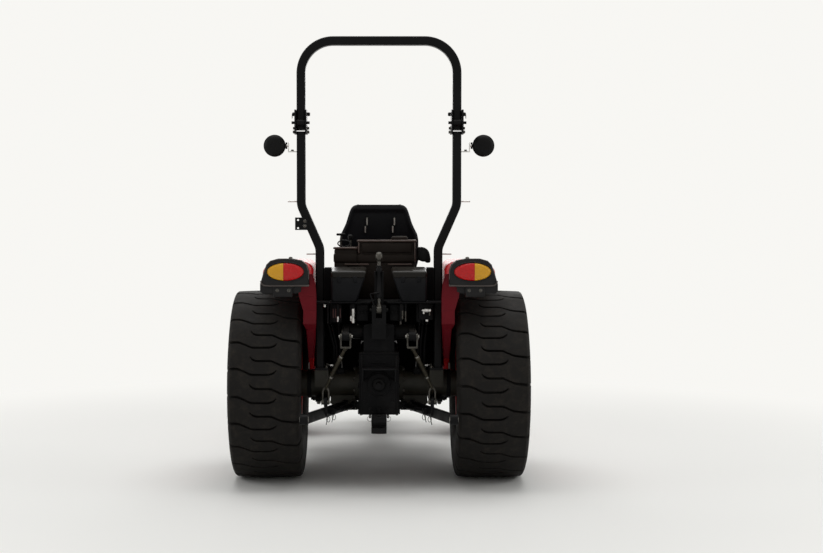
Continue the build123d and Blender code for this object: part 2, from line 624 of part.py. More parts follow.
def grille():
    """A panel in the bonnet's mouth, with two headlamps set in it."""
    gap = SEAT_GAP
    panel = block((-GRILLE_HALF + gap, GRILLE_HALF - gap), (HOOD_FRONT_Y - 14, HOOD_FRONT_Y - 2),
                  (GRILLE_Z[0] + gap, GRILLE_Z[1] - gap))
    holes = [bar((x, HOOD_FRONT_Y - 30, LAMP_Z), (x, HOOD_FRONT_Y + 10, LAMP_Z), LAMP_R)
             for x in (-LAMP_X, LAMP_X)]
    return panel - holes


def headlamps():
    front = HOOD_FRONT_Y - 4
    return pair(bar((LAMP_X, front - LAMP_LONG, LAMP_Z), (LAMP_X, front, LAMP_Z), LAMP_R - SEAT_GAP))


def dash():
    """The cowl behind the bonnet, with the bonnet's hinge pins and a bored neck for the steering shaft."""
    rear, front, high = COWL_REAR_Y, COWL_FRONT_Y, COWL_HIGH_Z
    profile = [(rear + 40, FLOOR_Z + SEAT_GAP), (rear, 900), (rear - 30, high - 70), (rear + 60, high),
               (front, high + 10), (front, FLOOR_Z + SEAT_GAP)]
    cowl = rounded(side_plate(profile, (-COWL_HALF, COWL_HALF)), Axis.Z, 30)
    foot, top = Vector(*COLUMN_FOOT), Vector(*WHEEL_CENTRE)
    along = (top - foot).normalized()
    neck_end = top - along * (2 * STEER_GRIP_R + MOVE_GAP)
    neck = bar(tuple(foot), tuple(neck_end), STEER_NECK_R)
    bore = bar(tuple(neck_end - along * 90), tuple(neck_end + along), STEER_SHAFT_R + SHAFT_GAP)
    half = ENGINE_HALF + 4
    arch = block((-half, half), (rear - 60, front + 1), (FLOOR_Z, ENGINE_HIGH_Z + 4))
    return cowl + neck + hood_pins() - bore - arch


def hood_pins():
    """Two arms ahead of the cowl that come up to the bonnet's pins from below."""
    y, z = HOOD_PIVOT
    eye, neck = HOOD_PIN_R + 10, z - 12
    outline = [(COWL_FRONT_Y - 1, z - HOOD_ARM_LOW), (COWL_FRONT_Y - 1, neck), (y - 38, neck),
               (y - eye, z + eye), (y + eye, z + eye), (y + eye, z - eye), (y - 10, z - HOOD_ARM_LOW)]
    parts = []
    for _, sign in SIDES:
        parts.append(side_plate(outline, sorted((sign * HOOD_ARM_X[0], sign * HOOD_ARM_X[1]))))
        parts.append(bar((sign * HOOD_ARM_X[0], y, z), (sign * (HOOD_LUG_X[1] + 6), y, z), HOOD_PIN_R))
    return group(*parts)


def steering_wheel():
    """A ring with three spokes on a hub and a shaft."""
    foot, top = Vector(*COLUMN_FOOT), Vector(*WHEEL_CENTRE)
    along = (top - foot).normalized()
    seat = Plane(origin=top, x_dir=(1, 0, 0), z_dir=along)
    ring = Torus(STEER_R, STEER_GRIP_R)
    hub = Pos(0, 0, -8) * Cylinder(40, 36)
    shaft = Pos(0, 0, -66) * Cylinder(STEER_SHAFT_R, 100)
    spokes = [Rot(0, 0, turn) * Pos(STEER_R / 2, 0, 0) * Box(STEER_R, 26, 8) for turn in (0, 180, 270)]
    return seat * (ring + hub + shaft + spokes)


def pedals():
    """Three pads on arms that come up through the floor."""
    pads = []
    for x, y in PEDALS_XY:
        pad = Pos(x, y, PEDAL_Z) * Rot(55, 0, 0) * Box(64, 74, 12)
        pads.append(pad + bar((x, y + 8, FLOOR_Z + SEAT_GAP), (x, y + 8, PEDAL_Z + 2), 9))
    return group(*pads)


# ---- Platform and fenders ----
def arch_points(step):
    """The fender's (y, z) corners from its rear end over the wheel to the floor, moved in by a step."""
    tread = REAR.tyre_od / 2
    points = []
    for angle, space in ARCH:
        reach = tread + space - step
        points.append((reach * cos(radians(angle)), REAR_AXLE_Z + reach * sin(radians(angle))))
    return points + [(FENDER_FOOT_Y - step, FLOOR_Z)]


def fender_form(step, x):
    """The space under the arch as a solid, with the inner edge of its top rounded."""
    points = arch_points(step)
    line = FilletPolyline(*points, radius=FENDER_BEND_R - step)
    low_z = FLOOR_Z - 4 * FENDER_WALL - step
    ends = Polyline(points[-1], (points[-1][0], low_z), (points[0][0], low_z), points[0])
    face = make_face(line.edges() + ends.edges())
    solid = Pos(x[0], 0, 0) * extrude(Plane.YZ * face, amount=x[1] - x[0])
    low = {False: points[0][1] + 1, True: FLOOR_Z - 1}
    ahead = points[-2][0] - FENDER_BEND_R
    top_edges = [edge for edge in solid.edges() if edge.bounding_box().max.X < x[0] + 1
                 and edge.bounding_box().max.Z > low[edge.center().Y > ahead] and edge.center().Z > FLOOR_Z]
    return fillet(top_edges, FENDER_ROUND - step)


def fender():
    """The right fender: a wall inside the tyre, a rounded deck over it and a lip on the outer edge."""
    wall, axle = FENDER_WALL, REAR_AXLE_Z
    outside = fender_form(0, FENDER_X)
    inside = fender_form(wall, (FENDER_X[0] + wall, FENDER_X[1] - wall))
    mouth = fender_form(FENDER_LIP, (FENDER_X[0] + wall, FENDER_X[1] + wall))
    rear_y = arch_points(0)[0][0]
    low = FLOOR_Z - 6 * wall
    cut = [(rear_y - 1, low), (rear_y - 1, FENDER_CUT_Z), (rear_y + 30, FENDER_CUT_Z),
           (-240, axle + 174), (-95, axle + 104), (95, axle + 104), (120, FLOOR_Z),
           (FENDER_FOOT_Y + 200, FLOOR_Z), (FENDER_FOOT_Y + 200, low)]
    behind = block((FENDER_X[0] + FENDER_STRIP, FENDER_X[1] + 1), (rear_y - 1, rear_y + 40),
                   (FENDER_CUT_Z - 1, arch_points(0)[0][1] - 2))
    return outside - inside - mouth - behind - side_plate(cut, (FENDER_X[0] - 1, FENDER_X[1] + 1))


def platform():
    """The floor with a tunnel over the gear case and a step hung from each side."""
    low = FLOOR_Z - FLOOR_WALL
    wide_y = FENDER_FOOT_Y + 32
    inner = FENDER_X[0] - SEAT_GAP
    plate = block((-FLOOR_HALF, FLOOR_HALF), (wide_y, FLOOR_FRONT_Y), (low, FLOOR_Z))
    back = block((-inner, inner), (DECK_FRONT_Y, wide_y + 1), (low, FLOOR_Z))
    half = ENGINE_HALF + MOVE_GAP
    tunnel = block((-half, half), (0, FLOOR_FRONT_Y + 1), (low - 1, FLOOR_Z + 1))
    floor = rounded(plate, Axis.Z, 40) + back - tunnel
    steps = []
    for _, sign in SIDES:
        x = (sign * STEP_X[0], sign * STEP_X[1])
        steps.append(block(x, STEP_Y, (STEP_Z, STEP_Z + FLOOR_WALL)))
        steps += [block(x, (y, y + FLOOR_WALL), (STEP_Z, low + 1))
                  for y in (STEP_Y[0], STEP_Y[1] - FLOOR_WALL)]
    return floor + steps


def seat_deck():
    """A shelf between the fenders with a wall down to the floor, and cheeks that close it to the posts."""
    half = FENDER_X[0] - SEAT_GAP
    shelf = block((-half, half), (DECK_REAR_Y, DECK_FRONT_Y), (DECK_Z - DECK_WALL, DECK_Z))
    riser = block((-half, half), (DECK_FRONT_Y - DECK_WALL, DECK_FRONT_Y), (FLOOR_Z + SEAT_GAP, DECK_Z))
    saddle = block((-TRANS_HALF - 3, TRANS_HALF + 3), (DECK_FRONT_Y - 20, DECK_FRONT_Y + 1),
                   (FLOOR_Z, TRANS_HIGH_Z + 3))
    post = [block((sign * (ROPS_NARROW_X - 30), sign * (half + 1)), (ROPS_Y - 36, ROPS_Y + 36),
                  (DECK_Z - 20, DECK_Z + 1)) for _, sign in SIDES]
    mast = block((-46, 46), (DECK_REAR_Y - 1, TRANS_REAR_Y + 70), (DECK_Z - 20, DECK_Z + 1))
    cheek = rounded(block(CHEEK_X, CHEEK_Y, (DECK_Z - 1, CHEEK_HIGH_Z)), Axis.X, 8)
    return shelf + riser - saddle - post - mast + pair(cheek)


def lens_z():
    """The height of the lenses below the fender's rear corner."""
    return arch_points(0)[1][1] - 66


def lens_outline(grow):
    return Pos(LENS_X, lens_z()) * Ellipse(LENS_HALF[0] + grow, LENS_HALF[1] + grow)


def pod():
    """The right tail-light housing with an oval recess for the lenses."""
    z = lens_z()
    shell = rear_plate([(LENS_X + dx, z + dz) for dx, dz in POD_CORNERS], POD_Y)
    shell = fillet(shell.edges().filter_by(Axis.Y), 12)
    below = arch_points(-SEAT_GAP)
    low = [(below[-1][0], 0), (below[0][0], 0)]
    recess = Pos(0, POD_Y[0] + LENS_DEPTH, 0) * extrude(Plane.XZ * lens_outline(SEAT_GAP), amount=20)
    stalk = block((LENS_X - 38, LENS_X + 72), (POD_Y[0] + 12, POD_Y[0] + 42), (z - 146, z - 74))
    return shell - side_plate(below + low, (FENDER_X[0] - 50, FENDER_X[1] + 50)) - recess + stalk


def lenses():
    """The two colours of the tail-light lens, cut from one oval."""
    lens = Pos(0, POD_Y[0] + LENS_DEPTH - SEAT_GAP, 0) * extrude(Plane.XZ * lens_outline(0), amount=16)
    tall = (lens_z() - LENS_HALF[1] - 1, lens_z() + LENS_HALF[1] + 1)
    deep = (POD_Y[0] - 20, POD_Y[0] + 20)
    red = lens & block((LENS_X - LENS_HALF[0] - 1, LENS_SPLIT_X), deep, tall)
    amber = lens & block((LENS_SPLIT_X + SEAT_GAP, LENS_X + LENS_HALF[0] + 1), deep, tall)
    return red, amber


def body_work():
    right = fender()
    save("fender_right", right)
    save("fender_left", mirrored(right))
    save("platform", platform())
    save("seat_deck", seat_deck())
    save("tail_light_pods", pair(pod()))
    red, amber = lenses()
    save("tail_lenses_red", pair(red))
    save("tail_lenses_amber", pair(amber))


# ---- Roll bar ----
def swept_tube(path):
    section = RectangleRounded(*ROPS_TUBE, ROPS_TUBE_ROUND)
    return sweep(Plane(origin=path @ 0, x_dir=(1, 0, 0), z_dir=path % 0) * section, path=path)


def rops_post():
    """The right post, from a foot plate on the axle housing up to the fold plates."""
    foot_z = pad_top() + SEAT_GAP
    path = FilletPolyline((ROPS_NARROW_X, ROPS_Y, foot_z), (ROPS_NARROW_X, ROPS_Y, ROPS_BEND_Z[0]),
                          (ROPS_WIDE_X, ROPS_Y, ROPS_BEND_Z[1]), (ROPS_WIDE_X, ROPS_Y, ROPS_POST_TOP_Z),
                          radius=ROPS_BEND_R)
    foot = block((ROPS_NARROW_X - 48, ROPS_NARROW_X + 28), (ROPS_Y - 48, ROPS_Y + 90), (foot_z, foot_z + 14))
    return swept_tube(path) + foot


def fold_plates():
    """The fold joint's two plates beside the right tube, with the pivot pin and the lock pin."""
    half = ROPS_TUBE[0] / 2
    inner, outer = ROPS_WIDE_X - half - FOLD_GAP, ROPS_WIDE_X + half + FOLD_GAP
    back, ahead = ROPS_Y + ROPS_PLATE_Y[0], ROPS_Y + ROPS_PLATE_Y[1]
    plates = [rounded(block(x, (back, ahead), ROPS_PLATE_Z), Axis.X, 14)
              for x in ((inner - ROPS_PLATE, inner), (outer, outer + ROPS_PLATE))]
    pivot_y = ROPS_Y - ROPS_PIVOT_BACK
    pivot = bar((inner - 26, pivot_y, ROPS_PIVOT_Z), (outer + 26, pivot_y, ROPS_PIVOT_Z), ROPS_PIN_R)
    return plates[0] + plates[1] + pivot


def hoop():
    """The hoop: one bent tube with a bored lug behind each foot."""
    top = ROPS_TOP_Z - ROPS_TUBE[0] / 2
    path = FilletPolyline((-ROPS_WIDE_X, ROPS_Y, ROPS_HOOP_FOOT_Z), (-ROPS_WIDE_X, ROPS_Y, top),
                          (ROPS_WIDE_X, ROPS_Y, top), (ROPS_WIDE_X, ROPS_Y, ROPS_HOOP_FOOT_Z),
                          radius=ROPS_CORNER_R)
    tube = swept_tube(path)
    y, z, r = ROPS_Y - ROPS_PIVOT_BACK, ROPS_PIVOT_Z, ROPS_LUG_R
    half = ROPS_TUBE[0] / 2 - 2
    for _, sign in SIDES:
        inner, outer = sign * (ROPS_WIDE_X - half), sign * (ROPS_WIDE_X + half)
        lug = bar((inner, y, z), (outer, y, z), r)
        web = block((inner, outer), (y, ROPS_Y - ROPS_TUBE[1] / 2 + 5), (z - r, z + r))
        bore = bar((inner - sign, y, z), (outer + sign, y, z), ROPS_PIN_R + SHAFT_GAP)
        tube = tube + lug + web - bore
    return tube


def warning_lamp():
    """The right warning lamp, a round drum with soft edges."""
    drum = bar((WARNING_X, ROPS_Y - WARNING_HALF_DEPTH, WARNING_Z),
               (WARNING_X, ROPS_Y + WARNING_HALF_DEPTH, WARNING_Z), WARNING_R)
    return fillet(drum.edges().filter_by(GeomType.CIRCLE), 14)


def lamp_arm():
    """The lamp's bracket on the post, with the bolt that holds the lamp."""
    start = ROPS_WIDE_X + ROPS_TUBE[0] / 2 + SEAT_GAP
    y = (ROPS_Y - ARM_HALF, ROPS_Y + ARM_HALF)
    flat = block((start, ARM_X), y, (ARM_Z[0], ARM_Z[0] + ARM_WALL))
    tall = block((ARM_X - ARM_WALL, ARM_X), y, ARM_Z)
    bolt = bar((ARM_X, ROPS_Y, WARNING_Z), (WARNING_X - WARNING_R - SEAT_GAP / 3, ROPS_Y, WARNING_Z), 7)
    return flat + tall + bolt


def post_rods():
    """Thin rods that stand out of the posts, two on each side."""
    rods = []
    for post_x, z in zip((ROPS_NARROW_X, ROPS_WIDE_X), RODS_Z):
        start = post_x + ROPS_TUBE[0] / 2 + SEAT_GAP
        rods.append(bar((start, ROPS_Y, z), (start + ROD_LONG, ROPS_Y, z), ROD_R))
    return pair(group(*rods))


def post_plate():
    """A plate with two holes on the rear of the left post."""
    rear = ROPS_Y - ROPS_TUBE[1] / 2 - SEAT_GAP
    plate = block(HOLE_PLATE_X, (rear - HOLE_PLATE_WALL, rear), HOLE_PLATE_Z)
    holes = [bar((HOLE_X, rear - HOLE_PLATE_WALL - 1, z), (HOLE_X, rear + 1, z), HOLE_R) for z in HOLES_Z]
    return plate - holes


def roll_bar():
    save("rops_posts", pair(rops_post()))
    save("rops_fold_plates", pair(fold_plates()))
    save("rops_hoop", hoop())
    save("warning_lamps", pair(warning_lamp()))
    save("warning_lamp_arms", pair(lamp_arm()))
    save("post_rods", post_rods())
    save("post_plate", post_plate())


# ---- Seat and consoles ----
def seat():
    """The seat: a base, a pan, a cushion, and a back of a shell and a pad that lean back."""
    pan_z = (CUSHION_Z[0] - SEAT_GAP - PAN_WALL, CUSHION_Z[0] - SEAT_GAP)
    base = block((-150, 150), (SEAT_BACK_Y - 35, SEAT_BACK_Y + 185), (DECK_Z + SEAT_GAP, pan_z[0]))
    save("seat_base", rounded(base, Axis.Z, 20))
    pan = block((20 - SEAT_HALF, SEAT_HALF - 20), (SEAT_BACK_Y - 50, SEAT_FRONT_Y - 40), pan_z)
    save("seat_pan", rounded(pan, Axis.Z, 40))
    cushion = block((-SEAT_HALF, SEAT_HALF), (SEAT_BACK_Y + BACK_PAD + 12, SEAT_FRONT_Y), CUSHION_Z)
    save("seat_cushion", fillet(cushion.edges(), 32))
    foot = CUSHION_Z[1]
    right = [(x, foot + z) for x, z in BACK_OUTLINE]
    outline = right + [(-x, z) for x, z in reversed(right)]
    lean = Pos(0, SEAT_BACK_Y, foot) * Rot(BACK_LEAN, 0, 0) * Pos(0, -SEAT_BACK_Y, -foot)
    shell = lean * rear_plate(outline, (SEAT_BACK_Y - BACK_SHELL, SEAT_BACK_Y))
    bracket = block((-70, 70), (SEAT_BACK_Y - 50, SEAT_BACK_Y - 13), (CUSHION_Z[0], foot + 44))
    save("seat_back_shell", shell + bracket)
    pad = [(x * 0.93, foot + 8 + (z - foot) * 0.95) for x, z in outline]
    save("seat_backrest", lean * rear_plate(pad, (SEAT_BACK_Y + SEAT_GAP, SEAT_BACK_Y + BACK_PAD)))


def rear_console():
    """Boxes behind the seat: the main one, a lower one on the left and a rounded end on the right."""
    boxes = [rounded(block(box.x, box.y, (DECK_Z + SEAT_GAP, box.high)), Axis.Y, box.round)
             for box in CONSOLE]
    bump = rounded(block(*BUMP), Axis.Y, 8)
    paddle = rounded(block(*PADDLE), Axis.Y, 30)
    return boxes[0] + boxes[1] + bump + paddle


def console_levers():
    """Two levers with knobs on the console's lower box."""
    foot = CONSOLE[1].high + SEAT_GAP
    parts = []
    for lever in LEVERS:
        stem = bar((lever.x, lever.y, foot), (lever.x, lever.y, lever.high), LEVER_R)
        parts.append(stem + Pos(lever.x, lever.y, lever.high) * Sphere(LEVER_KNOB_R))
    return group(*parts)


def cover_boxes():
    """Two rounded boxes at the rear of the deck."""
    foot, y = DECK_Z + SEAT_GAP, (DECK_REAR_Y + 4, COVER_FRONT_Y)
    inner, outer = COVER_X
    cover = rear_plate([(inner, COVER_Z[1]), (outer, COVER_Z[1]), (outer, foot), (COVER_FOOT_X, foot)], y)
    low, high = COVER_Z
    above = [(y[0] - 1, low), (y[1] + 1, high), (y[1] + 1, high + 9), (y[0] - 1, high + 9)]
    return pair(rounded(cover, Axis.Y, COVER_ROUND) - side_plate(above, (inner - 1, outer + 1)))


# ---- Hitch ----
def lift_arms():
    """The rockshaft with an arm at each end."""
    parts = bar((-ROCK_REACH, ROCK_Y, ROCK_Z), (ROCK_REACH, ROCK_Y, ROCK_Z), ROCK_R)
    y, z = LIFT_END
    for _, sign in SIDES:
        x = (sign * (LIFT_X - LIFT_HALF), sign * (LIFT_X + LIFT_HALF))
        hub = bar((sign * (COLUMN_HALF + MOVE_GAP), ROCK_Y, ROCK_Z),
                  (sign * ROCK_REACH, ROCK_Y, ROCK_Z), ARM_HUB_R)
        arm = side_plate([(ROCK_Y, ROCK_Z - 34), (ROCK_Y, ROCK_Z + 34), (y, z + 22), (y, z - 22)], x)
        inner, outer = sign * (LIFT_X - LIFT_EYE_HALF), sign * (LIFT_X + LIFT_EYE_HALF)
        eye = bar((inner, y, z), (outer, y, z), ARM_EYE_R)
        bore = bar((inner - sign, y, z), (outer + sign, y, z), ROD_PIN_R + SHAFT_GAP)
        parts = parts + hub + arm + eye - bore
    return parts


def link_direction():
    return Vector(LINK_REAR_X - LINK_FRONT_X, -HITCH_REACH - LINK_Y, LINK_BALL_Z - LINK_Z)


def link_point(y):
    """The place on the right lower link's centre line at a given y."""
    share = (y - LINK_Y) / (-HITCH_REACH - LINK_Y)
    return Vector(LINK_FRONT_X, LINK_Y, LINK_Z) + link_direction() * share


def lower_link():
    """The right lower link: a flat bar with a pin eye ahead, a ball end behind and a lug for the rod."""
    start, end = link_point(LINK_Y), link_point(-HITCH_REACH)
    along = link_direction()
    plane = Plane(origin=(start + end) * 0.5, x_dir=(0, 0, 1), z_dir=along)
    flat = plane * Box(*LINK_BAR, along.length - 50)
    unit = along.normalized()
    flat = fillet(flat.edges().filter_by(lambda edge: abs((edge % 0.5).dot(unit)) > 0.999), 6)
    eye = bar((start.X - 14, start.Y, start.Z), (start.X + 14, start.Y, start.Z), LINK_PIN_R + 20)
    ball = bar((end.X - BALL_WIDE / 2, end.Y, end.Z), (end.X + BALL_WIDE / 2, end.Y, end.Z), BALL_R)
    foot = link_point(ROD_FOOT_Y)
    high = foot.Z + LUG_HIGH
    lug = rounded(block((foot.X - LUG_HALF, foot.X + LUG_HALF), (foot.Y - 34, foot.Y + 34),
                        (foot.Z - 20, high + 25)), Axis.X, 16)
    slot = extrude(Plane.YZ * Pos(foot.Y, high) * SlotOverall(SLOT_LONG, SLOT_HIGH), amount=400)
    pin_bore = bar((start.X - 60, start.Y, start.Z), (start.X + 60, start.Y, start.Z), LINK_PIN_R + SHAFT_GAP)
    ball_bore = bar((end.X - 60, end.Y, end.Z), (end.X + 60, end.Y, end.Z), BALL_BORE_R)
    return flat + eye + ball + lug - (Pos(100, 0, 0) * slot) - pin_bore - ball_bore



def stabilizer():
    """The right stabilizer: a telescopic tube from the link's pin to the link's inner side."""
    end = link_point(STAY_END_Y)
    along = link_direction().normalized()
    inward = Vector(along.Y, -along.X, 0).normalized()
    half = LINK_BAR[1] / 2
    boss = bar(tuple(end + inward * (half + SEAT_GAP)), tuple(end + inward * (half + 26)), STAY_SLEEVE_R)
    eye = bar((STAY_EYE_X[0], LINK_Y, LINK_Z), (STAY_EYE_X[1], LINK_Y, LINK_Z), LINK_PIN_R + 14)
    bore = bar((STAY_EYE_X[0] - MOVE_GAP, LINK_Y, LINK_Z), (STAY_EYE_X[1] + MOVE_GAP, LINK_Y, LINK_Z),
               LINK_PIN_R + SHAFT_GAP)
    centre = Vector(sum(STAY_EYE_X) / 2, LINK_Y, LINK_Z)
    back = end + inward * (half + 15)
    front = centre + (back - centre).normalized() * (LINK_PIN_R + 9)
    tube = bar(tuple(front), tuple(back), STAY_TUBE_R)
    sleeve = bar(tuple(front + (back - front) * 0.14), tuple(front + (back - front) * 0.62), STAY_SLEEVE_R)
    return eye + tube + sleeve + boss - bore


def lift_rod():
    """The right lift rod: a fork on the lift arm, a slanted screw rod and a fork over the link's lug."""
    y, z = LIFT_END
    foot = link_point(ROD_FOOT_Y) + Vector(0, 0, LUG_HIGH)
    head = fork(LIFT_X, y, LIFT_EYE_HALF + PIN_GAP, z, z + 22, z - FORK_DROP)
    shoe = fork(foot.X, foot.Y, LUG_HALF + PIN_GAP, foot.Z, foot.Z - 14, foot.Z + LOW_FORK_HIGH)
    top = Vector(LIFT_X, y, z - FORK_DROP + 10)
    low = Vector(foot.X, foot.Y, foot.Z + LOW_FORK_HIGH - 10)
    screw = bar(tuple(top), tuple(low), ROD_SCREW_R)
    sleeve = bar(tuple(top + (low - top) * 0.2), tuple(top + (low - top) * 0.8), ROD_SLEEVE_R)
    return head + shoe + screw + sleeve


def fork(x, y, half, pin_z, ear_z, bridge_z):
    """Two ears and a bridge about an eye, with the pin through them."""
    inner, outer = half, half + FORK_WALL
    way = 1 if bridge_z > pin_z else -1
    ears = [rounded(block((x + sign * inner, x + sign * outer), (y - FORK_HALF, y + FORK_HALF),
                          (ear_z, bridge_z - way * 8)), Axis.X, 12) for _, sign in SIDES]
    bridge = block((x - outer, x + outer), (y - FORK_HALF, y + FORK_HALF), (bridge_z - way * 22, bridge_z))
    return bridge + ears + bar((x - outer - 8, y, pin_z), (x + outer + 8, y, pin_z), ROD_PIN_R)


def top_link():
    """The top link, stowed upright: two eyes, two screws and a turning sleeve with a handle."""
    lean = Pos(0, TOP_LINK_Y, TOP_LINK_Z) * Rot(-TOP_LINK_LEAN, 0, 0)
    foot = bar((-15, 0, 0), (15, 0, 0), 22)
    head = bar((-19, 0, TOP_LINK_LENGTH), (19, 0, TOP_LINK_LENGTH), 29)
    screws = bar((0, 0, 15), (0, 0, TOP_LINK_LENGTH - 15), 11)
    sleeve = bar((0, 0, 66), (0, 0, TOP_LINK_LENGTH - 66), 17)
    bores = bar((-40, 0, 0), (40, 0, 0), TOP_LINK_PIN_R + SHAFT_GAP)
    head_bore = bar((-40, 0, TOP_LINK_LENGTH), (40, 0, TOP_LINK_LENGTH), TOP_LINK_PIN_R + 0.1)
    return lean * (foot + head + screws + sleeve - bores - head_bore)


def top_link_clip():
    """A strap on the mast with two cheeks that hold the stowed top link."""
    strap = block((-CLIP_HALF, CLIP_HALF), (CLIP_Y[1] - 8, CLIP_Y[1]),
                  (TOP_LINK_Z + 24 + SEAT_GAP, CLIP_Z[1]))
    cheeks = [block((sign * (CLIP_HALF - 6), sign * CLIP_HALF), CLIP_Y, CLIP_Z) for _, sign in SIDES]
    return strap + cheeks


def drawbar():
    """A flat bar under the gear case, with a clevis and a pin hole."""
    flat = block((-DRAWBAR_HALF, DRAWBAR_HALF), (JAW_Y[1] - 40, -40), (DRAWBAR_Z[0], DRAWBAR_Z[1] - SEAT_GAP))
    jaw = rounded(block((-DRAWBAR_HALF - 2, DRAWBAR_HALF + 2), JAW_Y, JAW_Z), Axis.Z, 20)
    gap = block((-60, 60), (JAW_Y[0] - 20, JAW_Y[1] - 40), (DRAWBAR_Z[0], DRAWBAR_Z[1] + 1))
    hole = bar((0, JAW_PIN_Y, JAW_Z[0] - 1), (0, JAW_PIN_Y, JAW_Z[1] + 1), JAW_PIN_R)
    hanger = block((-HANGER_HALF, HANGER_HALF), (-150, 60), (DRAWBAR_Z[0] + 11, TRANS_LOW_Z - SEAT_GAP))
    return flat + jaw + hanger - gap - hole


def pto_shield():
    """A bent guard over the power take-off shaft."""
    y = (TRANS_REAR_Y - 110, TRANS_REAR_Y - SEAT_GAP)
    top = block((-SHIELD_HALF, SHIELD_HALF), y, (SHIELD_Z[1] - SHIELD_WALL, SHIELD_Z[1]))
    legs = [block((sign * (SHIELD_HALF - SHIELD_WALL), sign * SHIELD_HALF), y, SHIELD_Z) for _, sign in SIDES]
    return top + legs


def hitch():
    save("lift_arms", lift_arms())
    for name, piece in (("lower_link", lower_link()), ("stabilizer", stabilizer()), ("lift_rod", lift_rod())):
        save(f"{name}_right", piece)
        save(f"{name}_left", mirrored(piece))
    save("top_link", top_link())
    save("top_link_clip", top_link_clip())
    save("drawbar", drawbar())
    save("pto_shield", pto_shield())


def build():
    os.makedirs("parts", exist_ok=True)
    wheels()
    save("transmission_housing", transmission())
    save("rear_axle_housings", axle_housings())
    save("engine_block", engine())
    save("front_frame", front_frame())
    save("radiator_and_battery", radiator())
    save("exhaust_pipe", exhaust())
    front_axle()
    save("bonnet", hood())
    save("grille", grille())
    save("headlamps", headlamps())
    save("dash_cowl", dash())
    save("steering_wheel", steering_wheel())
    save("pedals", pedals())
    body_work()
    roll_bar()
    seat()
    save("rear_console", rear_console())
    save("console_levers", console_levers())
    save("cover_boxes", cover_boxes())
    hitch()


if __name__ == "__main__":
    build()
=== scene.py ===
"""Looks for the compact farm tractor, in metres: +X to its right, +Y ahead, +Z up."""
import json
import math
from math import cos, pi, radians, sin

import bmesh
import bpy
from mathutils import Matrix, Vector


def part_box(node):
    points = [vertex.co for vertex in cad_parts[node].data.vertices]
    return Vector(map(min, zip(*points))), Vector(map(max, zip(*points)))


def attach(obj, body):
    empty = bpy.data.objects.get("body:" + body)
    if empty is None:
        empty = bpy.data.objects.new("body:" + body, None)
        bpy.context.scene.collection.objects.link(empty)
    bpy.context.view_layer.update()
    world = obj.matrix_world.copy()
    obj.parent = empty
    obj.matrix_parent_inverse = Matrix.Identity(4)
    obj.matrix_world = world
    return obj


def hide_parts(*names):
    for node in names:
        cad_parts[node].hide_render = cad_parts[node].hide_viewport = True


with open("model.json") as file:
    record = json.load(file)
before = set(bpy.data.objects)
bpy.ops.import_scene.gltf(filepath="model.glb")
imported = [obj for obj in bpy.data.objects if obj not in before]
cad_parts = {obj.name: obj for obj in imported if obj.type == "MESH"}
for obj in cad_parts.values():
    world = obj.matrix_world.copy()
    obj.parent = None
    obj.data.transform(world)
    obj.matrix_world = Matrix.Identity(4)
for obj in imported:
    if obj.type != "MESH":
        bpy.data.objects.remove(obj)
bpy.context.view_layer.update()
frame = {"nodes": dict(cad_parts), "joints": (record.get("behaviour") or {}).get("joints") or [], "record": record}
NODES = frame["nodes"]
JOINTS = {joint["name"]: joint for joint in frame["joints"]}
SIDES = (("left", -1), ("right", 1))
X, Y, Z = Vector((1, 0, 0)), Vector((0, 1, 0)), Vector((0, 0, 1))
BOX_FACES = [(0, 1, 2, 3), (7, 6, 5, 4), (0, 4, 5, 1), (1, 5, 6, 2), (2, 6, 7, 3), (3, 7, 4, 0)]
SEAT_LEAN = radians(10)


def centre(node):
    lo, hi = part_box(node)
    return (lo + hi) / 2


def pivot(joint):
    return Vector(JOINTS[joint]["pos_m"])


AXLE = centre("rear_tyre_left")
FRONT_AXLE = centre("front_tyre_left")


def at_axle(x, y, z):
    """A point given from the rear axle's line and the ground."""
    return Vector((x, AXLE.y + y, z))


# ---- Geometry helpers ----
def loop(at, u, v, steps, start=0):
    """Points round a circle or an ellipse with the radius vectors u and v, from start in degrees."""
    turns = [radians(start) + 2 * pi * i / steps for i in range(steps)]
    return [Vector(at) + u * cos(turn) + v * sin(turn) for turn in turns]


def arc(mid, radius, start, end, steps):
    """(a, b) points of an arc, angles in degrees."""
    turns = [radians(start + (end - start) * i / steps) for i in range(steps + 1)]
    return [(mid[0] + radius * cos(turn), mid[1] + radius * sin(turn)) for turn in turns]


def rounded_box(wide, high, radius, steps=5):
    """The (a, b) outline of a rectangle about the origin with round corners."""
    a, b = wide / 2 - radius, high / 2 - radius
    corners = ((a, b), (-a, b), (-a, -b), (a, -b))
    return [p for i, mid in enumerate(corners) for p in arc(mid, radius, 90 * i, 90 * (i + 1), steps)]


def smooth(a, b, x):
    """0 at a, 1 at b and an easy curve between."""
    k = min(1.0, max(0.0, (x - a) / (b - a)))
    return k * k * (3 - 2 * k)


